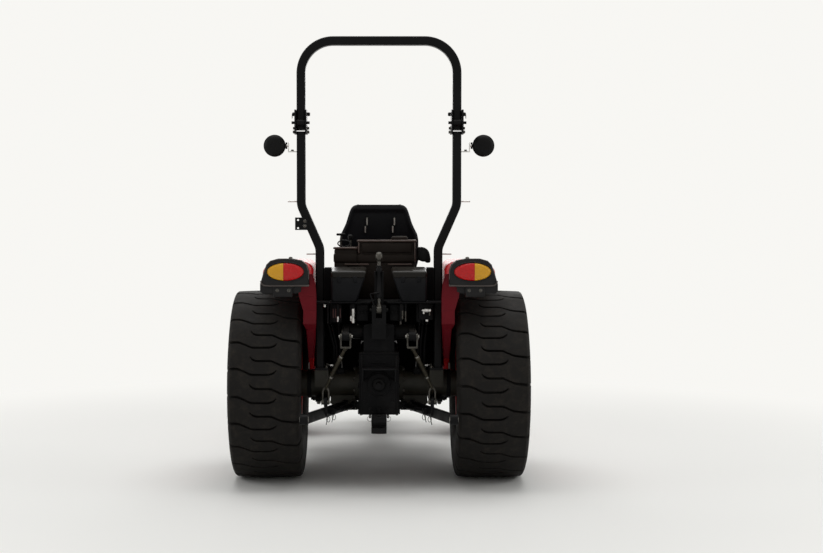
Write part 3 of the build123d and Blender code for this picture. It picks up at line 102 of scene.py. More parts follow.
class Shape:
    """Gathers solids for one piece."""

    def __init__(self):
        self.bm = bmesh.new()

    def faces(self, verts, faces):
        made = [self.bm.verts.new(v) for v in verts]
        for face in faces:
            self.bm.faces.new([made[i] for i in face])
        return made

    def skin(self, rings, closed=False):
        """Faces between rings of points. A ring of one point ends in a fan, and open ends get caps."""
        made = [[self.bm.verts.new(point) for point in ring] for ring in rings]
        for a, b in zip(made, made[1:] + (made[:1] if closed else [])):
            steps = max(len(a), len(b))
            for i in range(steps):
                j = (i + 1) % steps
                corners = (a[i % len(a)], a[j % len(a)], b[j % len(b)], b[i % len(b)])
                corners = list(dict.fromkeys(corners))
                if len(corners) > 2:
                    self.bm.faces.new(corners)
        for ring in () if closed else (made[0], made[-1]):
            if len(ring) > 1:
                self.bm.faces.new(ring)

    def soften(self, verts, offset, segments=2):
        edges = list({e for v in verts for e in v.link_edges})
        return bmesh.ops.bevel(self.bm, geom=edges, offset=offset, segments=segments, affect="EDGES",
                               profile=0.5)

    def block(self, lo, hi, bevel=0.003, turn=None, segments=2):
        """A box with soft edges, perhaps turned about its middle."""
        lo, hi = (Vector(pick(pair) for pair in zip(lo, hi)) for pick in (min, max))
        mid, dims = (lo + hi) / 2, hi - lo
        made = bmesh.ops.create_cube(self.bm, size=1)["verts"]
        for v in made:
            v.co = Vector(a * b for a, b in zip(v.co, dims)) + mid
        out = self.soften(made, min(bevel, min(dims) * 0.45), segments)
        if turn:
            for v in {v for f in out["faces"] for v in f.verts} | {v for v in made if v.is_valid}:
                v.co = turn @ (v.co - mid) + mid

    def lathe(self, origin, axis, profile, steps=32, closed=False):
        """A turned solid. The profile has (along the axis, radius) pairs, end to end."""
        turn = Vector(axis).normalized().to_track_quat("Z", "Y").to_matrix()
        if not closed:
            ends = [(profile[k][0], 0) if profile[k][1] else None for k in (0, -1)]
            profile = [*ends[:1], *profile, *ends[1:]]
        self.skin([loop(Vector(origin) + turn @ Z * along, turn @ X * radius, turn @ Y * radius, steps)
                   if radius else [Vector(origin) + turn @ Z * along]
                   for along, radius in filter(None, profile)], closed)

    def collar(self, origin, axis, profile, steps=40):
        """A turned ring. The profile is a closed loop of (along the axis, radius) pairs."""
        self.lathe(origin, axis, profile, steps, True)

    def rod(self, start, end, radius, steps=20, soft=0.15):
        """A round bar with chamfered ends."""
        start, end = Vector(start), Vector(end)
        length = (end - start).length
        c = min(radius * soft, length * 0.3)
        self.lathe(start, end - start, [(0, radius - c), (c, radius), (length - c, radius),
                                        (length, radius - c)], steps)

    def tube(self, points, radius, steps=12, closed=False):
        """A round bar along a line of points."""
        points = [Vector(p) for p in points]
        rings, up, last = [], None, len(points) - 1
        for i, p in enumerate(points):
            way = points[(i + 1) % (last + 1)] - points[i - 1] if closed else (
                points[min(i + 1, last)] - points[max(i - 1, 0)])
            way.normalize()
            up = up or way.orthogonal().normalized()
            up = (up - way * up.dot(way)).normalized()
            rings.append(loop(p, up * radius, way.cross(up) * radius, steps))
        self.skin(rings, closed)

    def plate(self, outline, origin, u, v, depth, bevel=0.0015):
        """A flat plate with the given (u, v) outline, as thick as depth along u x v."""
        u, v = Vector(u).normalized(), Vector(v).normalized()
        foot = [Vector(origin) + u * a + v * b for a, b in outline]
        n = len(foot)
        made = self.faces(foot + [p + u.cross(v) * depth for p in foot],
                          [tuple(range(n))[::-1], tuple(range(n, 2 * n))]
                          + [(i, (i + 1) % n, n + (i + 1) % n, n + i) for i in range(n)])
        if bevel:
            self.soften(made, bevel)

    def hex_bolt(self, at, axis, across, washer=True):
        """A bolt's head on its washer, standing on a surface."""
        if washer:
            self.lathe(at, axis, [(0, across * 0.98), (across * 0.13, across * 0.95)], 20)
        r, high = across * 0.577, across * 0.65
        foot = across * (0.12 if washer else 0)
        self.lathe(at, axis, [(foot, r), (foot + high * 0.86, r), (foot + high, r * 0.82)], 6)

    def done(self, name, surface, body="chassis", slot=None, smooth=35, replaces=None):
        """Makes the piece, on its body; the slot is looked up but not kept."""
        bmesh.ops.recalc_face_normals(self.bm, faces=self.bm.faces)
        mesh = bpy.data.meshes.new(name)
        self.bm.to_mesh(mesh)
        self.bm.free()
        return add_piece(name, mesh, surface, body, slot, smooth, replaces)


def add_piece(name, mesh, surface, body="chassis", slot=None, smooth=35, replaces=None):
    piece = bpy.data.objects.new(name, mesh)
    bpy.context.scene.collection.objects.link(piece)
    for polygon in mesh.polygons:
        polygon.use_smooth = True
    if smooth:
        mesh.set_sharp_from_angle(angle=radians(smooth))
    mesh.materials.append(surface)
    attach(piece, body)
    slot or SLOT_OF[surface.name]
    if replaces:
        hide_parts(replaces)
    return piece


# ---- Materials ----
def times(colour, share, lift=0.0):
    return tuple(c * share + lift for c in colour)


class Nodes:
    """Short calls for one material's node tree."""

    def __init__(self, name):
        self.material = bpy.data.materials.new(name)
        self.material.use_nodes = True
        self.tree = self.material.node_tree
        self.tree.nodes.clear()
        self.output = self.add("ShaderNodeOutputMaterial")
        self.place = self.add("ShaderNodeTexCoord").outputs["Object"]

    def add(self, kind, **values):
        node = self.tree.nodes.new(kind)
        for key, value in values.items():
            setattr(node, key, value)
        return node

    def put(self, socket, value):
        if isinstance(value, bpy.types.NodeSocket):
            self.tree.links.new(value, socket)
        else:
            socket.default_value = value

    def fill(self, node, **values):
        """Sets a node's inputs by name, with _ for a space."""
        for key, value in values.items():
            self.put(node.inputs[key.replace("_", " ")], value)
        return node

    def noise(self, scale, detail=4, rough=0.5, place=None):
        node = self.add("ShaderNodeTexNoise")
        return self.fill(node, Vector=place or self.place, Scale=scale, Detail=detail,
                         Roughness=rough).outputs["Fac"]

    def cells(self, scale, feature="F1"):
        node = self.add("ShaderNodeTexVoronoi", feature=feature)
        return self.fill(node, Vector=self.place, Scale=scale).outputs["Distance"]

    def maths(self, operation, a, b=0.0, clamp=False):
        node = self.add("ShaderNodeMath", operation=operation, use_clamp=clamp)
        self.put(node.inputs[0], a)
        self.put(node.inputs[1], b)
        return node.outputs[0]

    def times(self, a, b):
        return self.maths("MULTIPLY", a, b)

    def plus(self, a, b, clamp=False):
        return self.maths("ADD", a, b, clamp)

    def waves(self, value, rate):
        return self.maths("SINE", self.times(value, rate))

    def ramp(self, value, low, high, start=0.0, end=1.0):
        node = self.add("ShaderNodeMapRange", clamp=True)
        for socket, v in zip(node.inputs[:5], (value, low, high, start, end)):
            self.put(socket, v)
        return node.outputs[0]

    def mix(self, share, a, b):
        node = self.add("ShaderNodeMix", data_type="RGBA")
        self.put(node.inputs[0], share)
        for socket, colour in ((node.inputs[6], a), (node.inputs[7], b)):
            self.put(socket, (*colour, 1) if isinstance(colour, tuple) else colour)
        return node.outputs[2]

    def shades(self, value, colour, dark, light, low=0.3, high=0.7, lift=0.0):
        """The colour, from a darker share of it to a lighter one as the value rises."""
        return self.mix(self.ramp(value, low, high), times(colour, dark), times(colour, light, lift))

    def spots(self, scale, detail, rough, low, high, share, mask=None):
        """How strong a stain is: patches of noise, where the mask allows them."""
        patches = self.ramp(self.noise(scale, detail, rough), low, high)
        return self.times(self.times(mask, patches) if mask else patches, share)

    def part(self, axis, vector=None):
        split = self.add("ShaderNodeSeparateXYZ")
        self.put(split.inputs[0], vector or self.place)
        return split.outputs[axis]

    def dust(self, low, high, scale, top, share):
        """How much dust has settled on what looks up."""
        upward = self.part(2, self.add("ShaderNodeNewGeometry").outputs["Normal"])
        return self.spots(scale, 6, 0.7, 0.35, top, share, self.ramp(upward, low, high))

    def edges(self, radius):
        """(a normal that rounds the edges, a mask that is 1 on the edges)."""
        soft = self.fill(self.add("ShaderNodeBevel", samples=4), Radius=radius)
        flat = self.add("ShaderNodeNewGeometry").outputs["Normal"]
        dot = self.add("ShaderNodeVectorMath", operation="DOT_PRODUCT")
        self.put(dot.inputs[0], soft.outputs[0])
        self.put(dot.inputs[1], flat)
        return soft.outputs[0], self.ramp(dot.outputs["Value"], 0.99, 0.82)

    def bump(self, height, strength, distance, normal=None):
        node = self.fill(self.add("ShaderNodeBump"), Strength=strength, Distance=distance, Height=height)
        if normal:
            self.put(node.inputs["Normal"], normal)
        return node.outputs[0]

    def finish(self, colour, roughness, normal, spec=0.5, **plain):
        shader = self.fill(self.add("ShaderNodeBsdfPrincipled"), Base_Color=colour, Roughness=roughness,
                           Normal=normal, Specular_IOR_Level=spec, **plain)
        self.tree.links.new(shader.outputs[0], self.output.inputs[0])
        return self.material


def coated(name, colour, rough, worn, wear, dust, edge=0.002, spec=0.5, **plain):
    """Paint: slow colour drift, orange peel, chipped edges and dust on what looks up."""
    n = Nodes(name)
    shade = n.shades(n.noise(3.1, 5), colour, 0.82, 1.16, lift=0.002)
    soft, rim = n.edges(edge)
    shade = n.mix(n.spots(55, 6, 0.65, 0.5, 0.62, wear, rim), shade, worn)
    settled = n.dust(0.2, 0.95, 9, 0.75, dust)
    shade = n.mix(settled, shade, (0.24, 0.21, 0.17))
    smear = n.ramp(n.noise(14, 5, 0.6), 0.3, 0.75, rough * 0.8, min(1, rough * 1.35))
    return n.finish(shade, n.plus(smear, n.times(settled, 0.5), True),
                    n.bump(n.noise(420, 2), 0.06, 0.0006, soft), spec, **plain)


def moulded(name, colour, rough, grain, depth, dust, spec=0.5):
    """Moulded plastic: a fine grain, scuffed edges and dust."""
    n = Nodes(name)
    shade = n.shades(n.noise(5.3, 4), colour, 0.8, 1.25, 0.32, 0.68, 0.002)
    soft, rim = n.edges(0.0025)
    shade = n.mix(n.spots(38, 5, 0.6, 0.42, 0.7, 0.45, rim), shade, times(colour, 2.2, 0.008))
    shade = n.mix(n.dust(0.1, 0.9, 12, 0.8, dust), shade, (0.2, 0.175, 0.14))
    roughness = n.ramp(n.noise(16, 4), 0.3, 0.7, rough * 0.85, min(1, rough * 1.2))
    return n.finish(shade, roughness, n.bump(n.cells(grain), depth, 0.0004, soft), spec)


def cast(name, colour, rough, dust, grease, spec):
    """Painted cast iron: a sandy skin, greasy hollows and dust."""
    n = Nodes(name)
    shade = n.shades(n.noise(6.2, 6, 0.6), colour, 0.7, 1.3)
    soft, rim = n.edges(0.003)
    shade = n.mix(n.times(rim, 0.35), shade, times(colour, 2, 0.008))
    oily = n.spots(4.4, 5, 0.7, 0.52, 0.7, grease)
    shade = n.mix(oily, shade, (0.008, 0.007, 0.006))
    shade = n.mix(n.dust(0.0, 0.9, 11, 0.75, dust), shade, (0.2, 0.165, 0.12))
    skin = n.plus(n.noise(260, 4, 0.7), n.times(n.noise(40, 3), 0.6))
    return n.finish(shade, n.ramp(oily, 0, 0.4, rough, rough * 0.5), n.bump(skin, 0.35, 0.0012, soft), spec)


def bare(name, colour, rough=0.28, scratch=0.25):
    """Bright steel: fine scratches, stains and darker hollows."""
    n = Nodes(name)
    stain = n.noise(34, 6, 0.65)
    shade = n.shades(stain, colour, 1, 0.55, 0.4, 0.75)
    soft, rim = n.edges(0.001)
    shade = n.mix(n.times(rim, 0.4), shade, (0.72, 0.71, 0.69))
    stretched = n.fill(n.add("ShaderNodeMapping"), Vector=n.place, Scale=(60, 60, 900))
    lines = n.noise(1.0, 3, 0.6, stretched.outputs[0])
    roughness = n.ramp(n.plus(n.times(lines, scratch), stain), 0.4, 1.0, rough, rough + 0.25)
    return n.finish(shade, roughness, n.bump(lines, 0.12, 0.0003, soft), Metallic=1.0)


def rubber(name, colour, rough, earth, grain=700):
    """Tyre rubber: bloom, earth worked into the surface and a fine texture."""
    n = Nodes(name)
    bloom = n.noise(7, 5, 0.6)
    shade = n.shades(bloom, colour, 0.75, 1.3)
    soft, rim = n.edges(0.003)
    shade = n.mix(n.times(rim, 0.4), shade, times(colour, 1.9))
    shade = n.mix(n.spots(23, 7, 0.72, 0.48, 0.74, earth), shade, (0.115, 0.093, 0.068))
    roughness = n.ramp(bloom, 0.3, 0.7, rough * 0.88, min(1, rough * 1.15))
    texture = n.plus(n.noise(grain, 3, 0.7), n.times(n.noise(55, 4), 0.8))
    return n.finish(shade, roughness, n.bump(texture, 0.3, 0.0009, soft), 0.15)


def vinyl(name, colour, rough=0.45):
    """Seat vinyl: leather grain, creases darkened as painted shade, and shine where it is sat on."""
    n = Nodes(name)
    shade = n.shades(n.noise(5, 4), colour, 0.8, 1.25)
    creases = n.cells(320, "DISTANCE_TO_EDGE")
    # The crease lines are darkened: painted shade in the creases
    shade = n.mix(n.ramp(creases, 0.0, 0.12, 0.5, 0.0), shade, times(colour, 0.35))
    shade = n.mix(n.spots(19, 6, 0.7, 0.45, 0.8, 0.16), shade, (0.16, 0.145, 0.12))
    roughness = n.ramp(n.noise(8, 4), 0.3, 0.75, rough * 0.8, rough * 1.3)
    grain = n.plus(n.ramp(creases, 0.0, 0.18), n.times(n.noise(160, 3), 0.3))
    return n.finish(shade, roughness, n.bump(grain, 0.45, 0.0006), Coat_Weight=0.08, Coat_Roughness=0.35)


def lens(name, colour):
    """A coloured lens with moulded ribs behind a glossy face."""
    n = Nodes(name)
    facets = n.times(n.waves(n.part(2), 840), n.waves(n.part(0), 840))
    shade = n.shades(facets, colour, 0.72, 1.12, -1, 1)
    shade = n.mix(n.spots(30, 5, 0.7, 0.45, 0.8, 0.06), shade, (0.2, 0.17, 0.13))
    roughness = n.ramp(n.noise(45, 4), 0.3, 0.7, 0.16, 0.32)
    return n.finish(shade, roughness, n.bump(facets, 0.25, 0.0008), 0.25, Coat_Weight=0.1, Coat_Roughness=0.08)


def clear_glass(name):
    """A lamp's glass with moulded flutes."""
    n = Nodes(name)
    spots = n.ramp(n.noise(28, 5, 0.7), 0.45, 0.8)
    shade = n.mix(n.times(spots, 0.2), (0.9, 0.92, 0.92), (0.5, 0.45, 0.38))
    flutes = n.bump(n.waves(n.part(0), 900), 0.3, 0.0006)
    return n.finish(shade, n.ramp(spots, 0, 1, 0.05, 0.22), flutes, Transmission_Weight=0.85, IOR=1.5)


def ridged(name, colour, pitch):
    """Fins: parallel ridges across X, with painted shade in the valleys and painted highlight on the crests."""
    n = Nodes(name)
    wave = n.waves(n.part(0), 2 * pi / pitch)
    # The colour follows the ridges: painted shade between the fins and painted highlight on them
    shade = n.shades(wave, colour, 0.3, 1.4, -0.6, 0.6)
    shade = n.mix(n.spots(21, 6, 0.7, 0.45, 0.8, 0.3), shade, (0.16, 0.13, 0.1))
    return n.finish(shade, n.ramp(n.noise(30, 4), 0.3, 0.7, 0.51, 0.69), n.bump(wave, 0.8, 0.003))


RED = coated("red enamel", (0.45, 0.005, 0.009), 0.28, (0.20, 0.03, 0.03), 0.25, 0.04, 0.003, 0.35,
             Coat_Weight=0.12, Coat_Roughness=0.16)
RED_RIM = coated("red rim enamel", (0.36, 0.008, 0.010), 0.4, (0.16, 0.12, 0.11), 0.5, 0.16, 0.003)
# A darker copy of the red enamel for the fender flanges: painted shade, for the shadow they sit in
RED_PAINTED_SHADE = coated("red flange enamel darkened for painted shade", (0.12, 0.003, 0.008), 0.4, (0.05, 0.02, 0.02), 0.4, 0.03, 0.004, 0.12)
BLACK = coated("black frame enamel", (0.0055, 0.0055, 0.006), 0.36, (0.05, 0.048, 0.045), 0.35, 0.03, spec=0.08)
SATIN = coated("satin black enamel", (0.0055, 0.0055, 0.006), 0.5, (0.06, 0.056, 0.05), 0.4, 0.08, spec=0.08)
DECK = coated("deck enamel", (0.006, 0.006, 0.0065), 0.75, (0.04, 0.038, 0.035), 0.3, 0.03, spec=0.06)
CAST = cast("black cast iron", (0.0052, 0.0052, 0.0056), 0.6, 0.07, 0.4, 0.08)
OLIVE = cast("axle iron", (0.019, 0.017, 0.011), 0.5, 0.14, 0.4, 0.25)
ENGINE = cast("engine iron", (0.028, 0.03, 0.033), 0.5, 0.15, 0.5, 0.3)
PLASTIC = moulded("grained black plastic", (0.006, 0.0063, 0.0075), 0.5, 900, 0.25, 0.08, 0.08)
HOUSING = moulded("black lamp plastic", (0.011, 0.0105, 0.011), 0.42, 1100, 0.15, 0.06, 0.15)
# Lighter grey for the pods' bottom lip and top seam: a painted highlight where light from above falls on them
POD_EDGE_PAINTED_HIGHLIGHT = moulded("lamp edge plastic lightened for painted highlight", (0.055, 0.044, 0.040), 0.4, 1100, 0.15, 0.2, 0.4)
CONSOLE = moulded("console plastic", (0.016, 0.0115, 0.009), 0.45, 900, 0.2, 0.1, 0.08)
# A lighter brown for the console's ledges: a painted highlight on its top edges
LEDGE_PAINTED_HIGHLIGHT = moulded("console edge plastic lightened for painted highlight", (0.060, 0.036, 0.028), 0.42, 900, 0.2, 0.1, 0.4)
LID = moulded("glossy lid plastic", (0.007, 0.0055, 0.004), 0.3, 1200, 0.1, 0.04, 0.14)
KNOB = moulded("soft black knob plastic", (0.006, 0.006, 0.006), 0.4, 1400, 0.1, 0.06, 0.08)
RED_DARK = moulded("red relay plastic", (0.045, 0.006, 0.005), 0.5, 1000, 0.1, 0.1)
PRINT = moulded("white dial print", (0.7, 0.7, 0.68), 0.5, 1500, 0.05, 0.05)
RUBBER = rubber("tyre rubber", (0.0098, 0.0088, 0.0080), 0.72, 0.13)
GRIP = rubber("grip rubber", (0.007, 0.007, 0.007), 0.6, 0.08, 1400)
VINYL = vinyl("black seat vinyl", (0.008, 0.008, 0.009))
PIPING = vinyl("seat piping vinyl", (0.02, 0.02, 0.021), 0.4)
STEEL = bare("bright zinc steel", (0.56, 0.55, 0.53))
DARK_STEEL = bare("oiled steel", (0.070, 0.066, 0.058), 0.36)
OLIVE_STEEL = bare("olive passivated steel", (0.045, 0.040, 0.030), 0.42)
PIN_STEEL = bare("dull pin steel", (0.26, 0.25, 0.23), 0.36)
CHROME = bare("plated steel", (0.72, 0.72, 0.71), 0.12, 0.1)
LENS_RED = lens("red lens", (0.62, 0.008, 0.010))
LENS_AMBER = lens("amber lens", (0.84, 0.42, 0.02))
LENS_CLEAR = clear_glass("lamp glass")
FINS = ridged("radiator fins", (0.03, 0.03, 0.032), 0.004)

# The first surface of a slot is the one its CAD nodes get
SLOTS = {
    "red_paint": (RED, RED_RIM, RED_PAINTED_SHADE, RED_DARK), "black_paint": (BLACK, SATIN), "cast_dark": (CAST, ENGINE),
    "dark_plastic": (PLASTIC, HOUSING, POD_EDGE_PAINTED_HIGHLIGHT, CONSOLE, LEDGE_PAINTED_HIGHLIGHT, LID, KNOB, PRINT), "tyre_rubber": (RUBBER,),
    "grip_rubber": (GRIP,), "seat_vinyl": (VINYL, PIPING), "lens_red": (LENS_RED,),
    "lens_amber": (LENS_AMBER,), "lamp_glass": (LENS_CLEAR, CHROME),
    "bright_steel": (STEEL, DARK_STEEL, OLIVE_STEEL, PIN_STEEL),
}
SLOT_OF = {surface.name: slot for slot, surfaces in SLOTS.items() for surface in surfaces}
OWN_FINISH = {"seat_deck": DECK, "platform": DECK, "engine_block": ENGINE, "rear_axle_housings": OLIVE,
              "radiator_and_battery": FINS, "exhaust_pipe": SATIN}


def dress_frame():
    """Every CAD node gets its slot's finish."""
    for part in frame["record"]["subparts"]:
        name = part["node"]
        surface = RED_RIM if "rim" in name else OWN_FINISH.get(name, SLOTS[part["material_slot"]][0])
        mesh = NODES[name].data
        mesh.materials.clear()
        mesh.materials.append(surface)
        for polygon in mesh.polygons:
            polygon.material_index = 0


# ---- Camera, light and floor ----
BACKDROP = (0.936, 0.928, 0.898, 1)
FADE_START, FADE_END = 1.9, 4.6
FLOOR_HALF, FLOOR_Z = 60, -0.0005
CAMERA_AT, CAMERA_DIP, CAMERA_LENS, CAMERA_SHIFT = (0, -8.996, 1.494), 2.22, 61.5, 0.0395
WORLD_COLOUR, WORLD_LIGHT = (0.94, 0.935, 0.925, 1), 0.40
# name, place, what it lights, size and power
LAMPS = (
    ("overhead", (0, 0.4, 6.5), (0, 0, 0.5), (6, 5), 235),
    ("front", (0, 8, 4.0), (0, 0, 1.0), (5, 3), 120),
    ("side_left", (-6, -2, 3.6), (0, 0, 1.0), (3, 3), 60),
    ("side_right", (6, -2, 3.6), (0, 0, 1.0), (3, 3), 60),
)


def seen_rays(tree):
    """1 for rays from the camera, or through glass or off gloss."""
    rays = tree.nodes.new("ShaderNodeLightPath")
    seen = rays.outputs["Is Camera Ray"]
    for name in ("Is Glossy Ray", "Is Transmission Ray"):
        larger = tree.nodes.new("ShaderNodeMath")
        larger.operation = "MAXIMUM"
        tree.links.new(seen, larger.inputs[0])
        tree.links.new(rays.outputs[name], larger.inputs[1])
        seen = larger.outputs[0]
    return seen


def mix_shaders(tree, share, a, b, output):
    mixer = tree.nodes.new("ShaderNodeMixShader")
    for socket, value in zip(mixer.inputs, (share, a.outputs[0], b.outputs[0])):
        tree.links.new(value, socket)
    tree.links.new(mixer.outputs[0], output.inputs[0])


def floor_finish():
    """A pale matt floor that takes the shadow and fades into the backdrop's colour further out."""
    n = Nodes("floor")
    matt = n.add("ShaderNodeBsdfDiffuse")
    n.put(matt.inputs[0], n.mix(n.noise(0.4, 2), (0.885, 0.885, 0.86), (0.91, 0.91, 0.885)))
    far = n.add("ShaderNodeEmission")
    far.inputs[0].default_value = BACKDROP
    squares = [n.maths("POWER", n.maths("ABSOLUTE", n.part(axis)), 2) for axis in (0, 1)]
    fade = n.add("ShaderNodeMapRange", interpolation_type="SMOOTHSTEP")
    for socket, value in zip(fade.inputs[:5], (n.maths("SQRT", n.plus(*squares)), FADE_START, FADE_END, 0, 1)):
        n.put(socket, value)
    mix_shaders(n.tree, n.times(fade.outputs[0], seen_rays(n.tree)), matt, far, n.output)
    return n.material


def backdrop_world():
    """Soft light for the object, and the backdrop's colour where it is seen."""
    world = bpy.data.worlds.new("world")
    world.use_nodes = True
    tree = world.node_tree
    light, seen = tree.nodes["Background"], tree.nodes.new("ShaderNodeBackground")
    light.inputs[0].default_value = WORLD_COLOUR
    light.inputs[1].default_value = WORLD_LIGHT
    seen.inputs[0].default_value = BACKDROP
    mix_shaders(tree, seen_rays(tree), light, seen, tree.nodes["World Output"])
    return world


def look():
    scene = bpy.context.scene
    scene.view_settings.view_transform = "Standard"
    data = bpy.data.cameras.new("camera")
    camera = bpy.data.objects.new("camera", data)
    camera.location = CAMERA_AT
    camera.rotation_euler = (radians(90 - CAMERA_DIP), 0, 0)
    data.lens, data.shift_x = CAMERA_LENS, CAMERA_SHIFT
    scene.camera = camera

    mesh = bpy.data.meshes.new("floor")
    corners = ((-1, -1), (1, -1), (1, 1), (-1, 1))
    mesh.from_pydata([(x * FLOOR_HALF, y * FLOOR_HALF, FLOOR_Z) for x, y in corners], [], [(0, 1, 2, 3)])
    mesh.materials.append(floor_finish())
    floor = bpy.data.objects.new("floor", mesh)
    for piece in (camera, floor):
        scene.collection.objects.link(piece)
    scene.world = backdrop_world()

    for name, place, target, size, power in LAMPS:
        data = bpy.data.lights.new(name, "AREA")
        data.shape = "RECTANGLE"
        data.size, data.size_y = size
        data.energy = power
        lamp = bpy.data.objects.new(name, data)
        scene.collection.objects.link(lamp)
        lamp.location = place
        lamp.rotation_euler = (Vector(target) - Vector(place)).to_track_quat("-Z", "Y").to_euler()


# ---- Tyres ----
# How far each side's groove line stands ahead, along the share of the way across the tread
LEFT_GROOVES = ((-1, 0.034), (0.16, 0.034), (0.25, 0.018), (0.34, 0.0), (0.58, 0.0), (0.64, 0.008), (0.68, 0.024))
RIGHT_GROOVES = ((0.32, 0.026), (0.35, 0.010), (0.40, 0.0), (0.61, 0.0), (0.68, -0.014), (0.76, -0.028),
                 (0.92, -0.036), (2, -0.036))
LEFT_GROOVE_END, RIGHT_GROOVE_START = 0.68, 0.32
# x, height above the lip as a share of the wall, how deep and how wide the grooves are
SHOULDER = ((1.0, 0.60, 0.0, 1.9), (1.0, 0.66, 0.35, 1.9), (0.992, 0.76, 0.8, 1.8), (0.975, 0.855, 1.0, 1.7),
            (0.952, 0.915, 1.0, 1.6), (0.925, 0.955, 1.0, 1.45), (0.88, 0.980, 1.0, 1.3))
SIDEWALL = ((1.0, 0.52), (0.995, 0.42), (0.975, 0.30), (0.978, 0.285), (0.95, 0.20), (0.915, 0.10), (0.885, 0.045))
TREAD_EDGE, CROWN, TREAD_ROWS = 0.88, 0.020, 24
GROOVE_STEP_HALF = 0.2053       # the half width at which the grooves' steps are given


def step_line(f, points):
    """The value at f on a line of (f, value) points."""
    if f <= points[0][0]:
        return points[0][1]
    for (a, p), (b, q) in zip(points, points[1:]):
        if f <= b:
            return p + (q - p) * (f - a) / (b - a)
    return points[-1][1]


def tyre(end, side, lugs, phase, depth, groove, bead):
    """An industrial tread: grooves from both shoulders that pass each other in the middle."""
    node = f"{end}_tyre_{side}"
    lo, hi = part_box(node)
    mid, radius, half = (lo + hi) / 2, (hi.z - lo.z) / 2, (hi.x - lo.x) / 2 - 0.001
    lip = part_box(f"{end}_rim_{side}")
    lip_r = (lip[1].z - lip[0].z) / 2 + 0.0012
    wall, pitch = radius - lip_r, 2 * pi / lugs
    line = [(-x, *rest) for x, *rest in SHOULDER]
    for i in range(1, TREAD_ROWS):
        x = TREAD_EDGE * (2 * i / TREAD_ROWS - 1)
        share = abs(x / TREAD_EDGE)
        line.append((x, 0.980 + CROWN * (1 - share ** 2), 1.0, 1.0 + 0.25 * share ** 3))
    line += SHOULDER[::-1]
    columns = []
    for x, high, deep, wide in line:
        f, top = (x + 1) / 2, lip_r + wall * high
        gap = groove * wide / radius / 2
        left, right = (step_line(f, points) * half / GROOVE_STEP_HALF / radius
                       for points in (LEFT_GROOVES, RIGHT_GROOVES))
        column = []
        for i in range(lugs):
            base = i * pitch + radians(phase)
            spans = [(base + left, deep * (f < LEFT_GROOVE_END)),
                     (base + pitch / 2 + right, deep * (f > RIGHT_GROOVE_START))]
            for (at, cut), (following, _) in zip(spans, (spans[1], (spans[0][0] + pitch, 0))):
                column += [(at - gap * 1.25, top), (at - gap * 0.75, top - cut * depth),
                           (at + gap * 0.75, top - cut * depth), (at + gap * 1.25, top)]
                start, stop = at + gap * 1.25, following - gap * 1.25
                column += [(start + (stop - start) * share, top) for share in (0.12, 0.5, 0.88)]
        columns.append((x * half, column))

    def ring(x, r, like):
        return x, [(angle, r) for angle, _ in columns[like][1]]

    def side_rings(sign, like):
        """The smooth sidewall, down to the bead."""
        return ([ring(sign * x * half, lip_r + wall * high, like) for x, high in SIDEWALL]
                + [ring(sign * (bead + out), lip_r + up, like)
                   for out, up in ((0.0012, 0.002), (-0.002, -0.002), (-0.006, -0.016))])
    inner = radius - depth - 0.03
    lining = [ring(half * 0.80, inner * 0.9, -1), ring(half * 0.5, inner, -1),
              ring(-half * 0.5, inner, 0), ring(-half * 0.80, inner * 0.9, 0)]
    columns = side_rings(-1, 0)[::-1] + columns + side_rings(1, -1) + lining
    shape = Shape()
    shape.skin([[mid + Vector((x, -r * cos(angle), r * sin(angle))) for angle, r in column]
                for x, column in columns], True)
    shape.done(f"{end}_tread_tyre_{side}", RUBBER, f"{end}_wheel_{side}", smooth=32, replaces=node)


def tyres():
    for side, sign in SIDES:
        tyre("rear", side, 22, 11.2 if sign < 0 else 1.0, 0.024, 0.0105, 0.1697)
        tyre("front", side, 20, 4.0, 0.015, 0.008, 0.0807)


# ---- Seat ----
BACK_FOOT_Z, BACK_TOP_Z = 1.215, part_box("seat_back_shell")[1].z
# half width, height
BACK_WIDTHS = ((0.225, 1.215), (0.237, 1.255), (0.238, 1.385), (0.231, 1.420), (0.213, 1.455), (0.199, 1.485),
               (0.188, 1.52), (0.177, 1.555), (0.167, 1.577), (0.150, 1.591), (0.11, 1.598), (0.0, 1.6005))
BACK_UP = Vector((0, -sin(SEAT_LEAN), cos(SEAT_LEAN)))
BACK_AHEAD = Vector((0, cos(SEAT_LEAN), sin(SEAT_LEAN)))
PAD_VOXEL, SEAM_DEPTH = 0.0065, 0.0065
CLOTH_STEPS, CLOTH_PRESSURE = 20, 4.0


def back_half(z):
    """Half the seat back's width at a height."""
    for (w0, z0), (w1, z1) in zip(BACK_WIDTHS, BACK_WIDTHS[1:]):
        if z <= z1:
            return w0 + (w1 - w0) * max(0.0, z - z0) / (z1 - z0)
    return BACK_WIDTHS[-1][0]


def grid_faces(columns, rows, first=0):
    """The faces of a grid of points, row by row."""
    wide = columns + 1
    return [(k, k + 1, k + wide + 1, k + wide) for j in range(rows) for k in
            range(first + j * wide, first + j * wide + columns)]


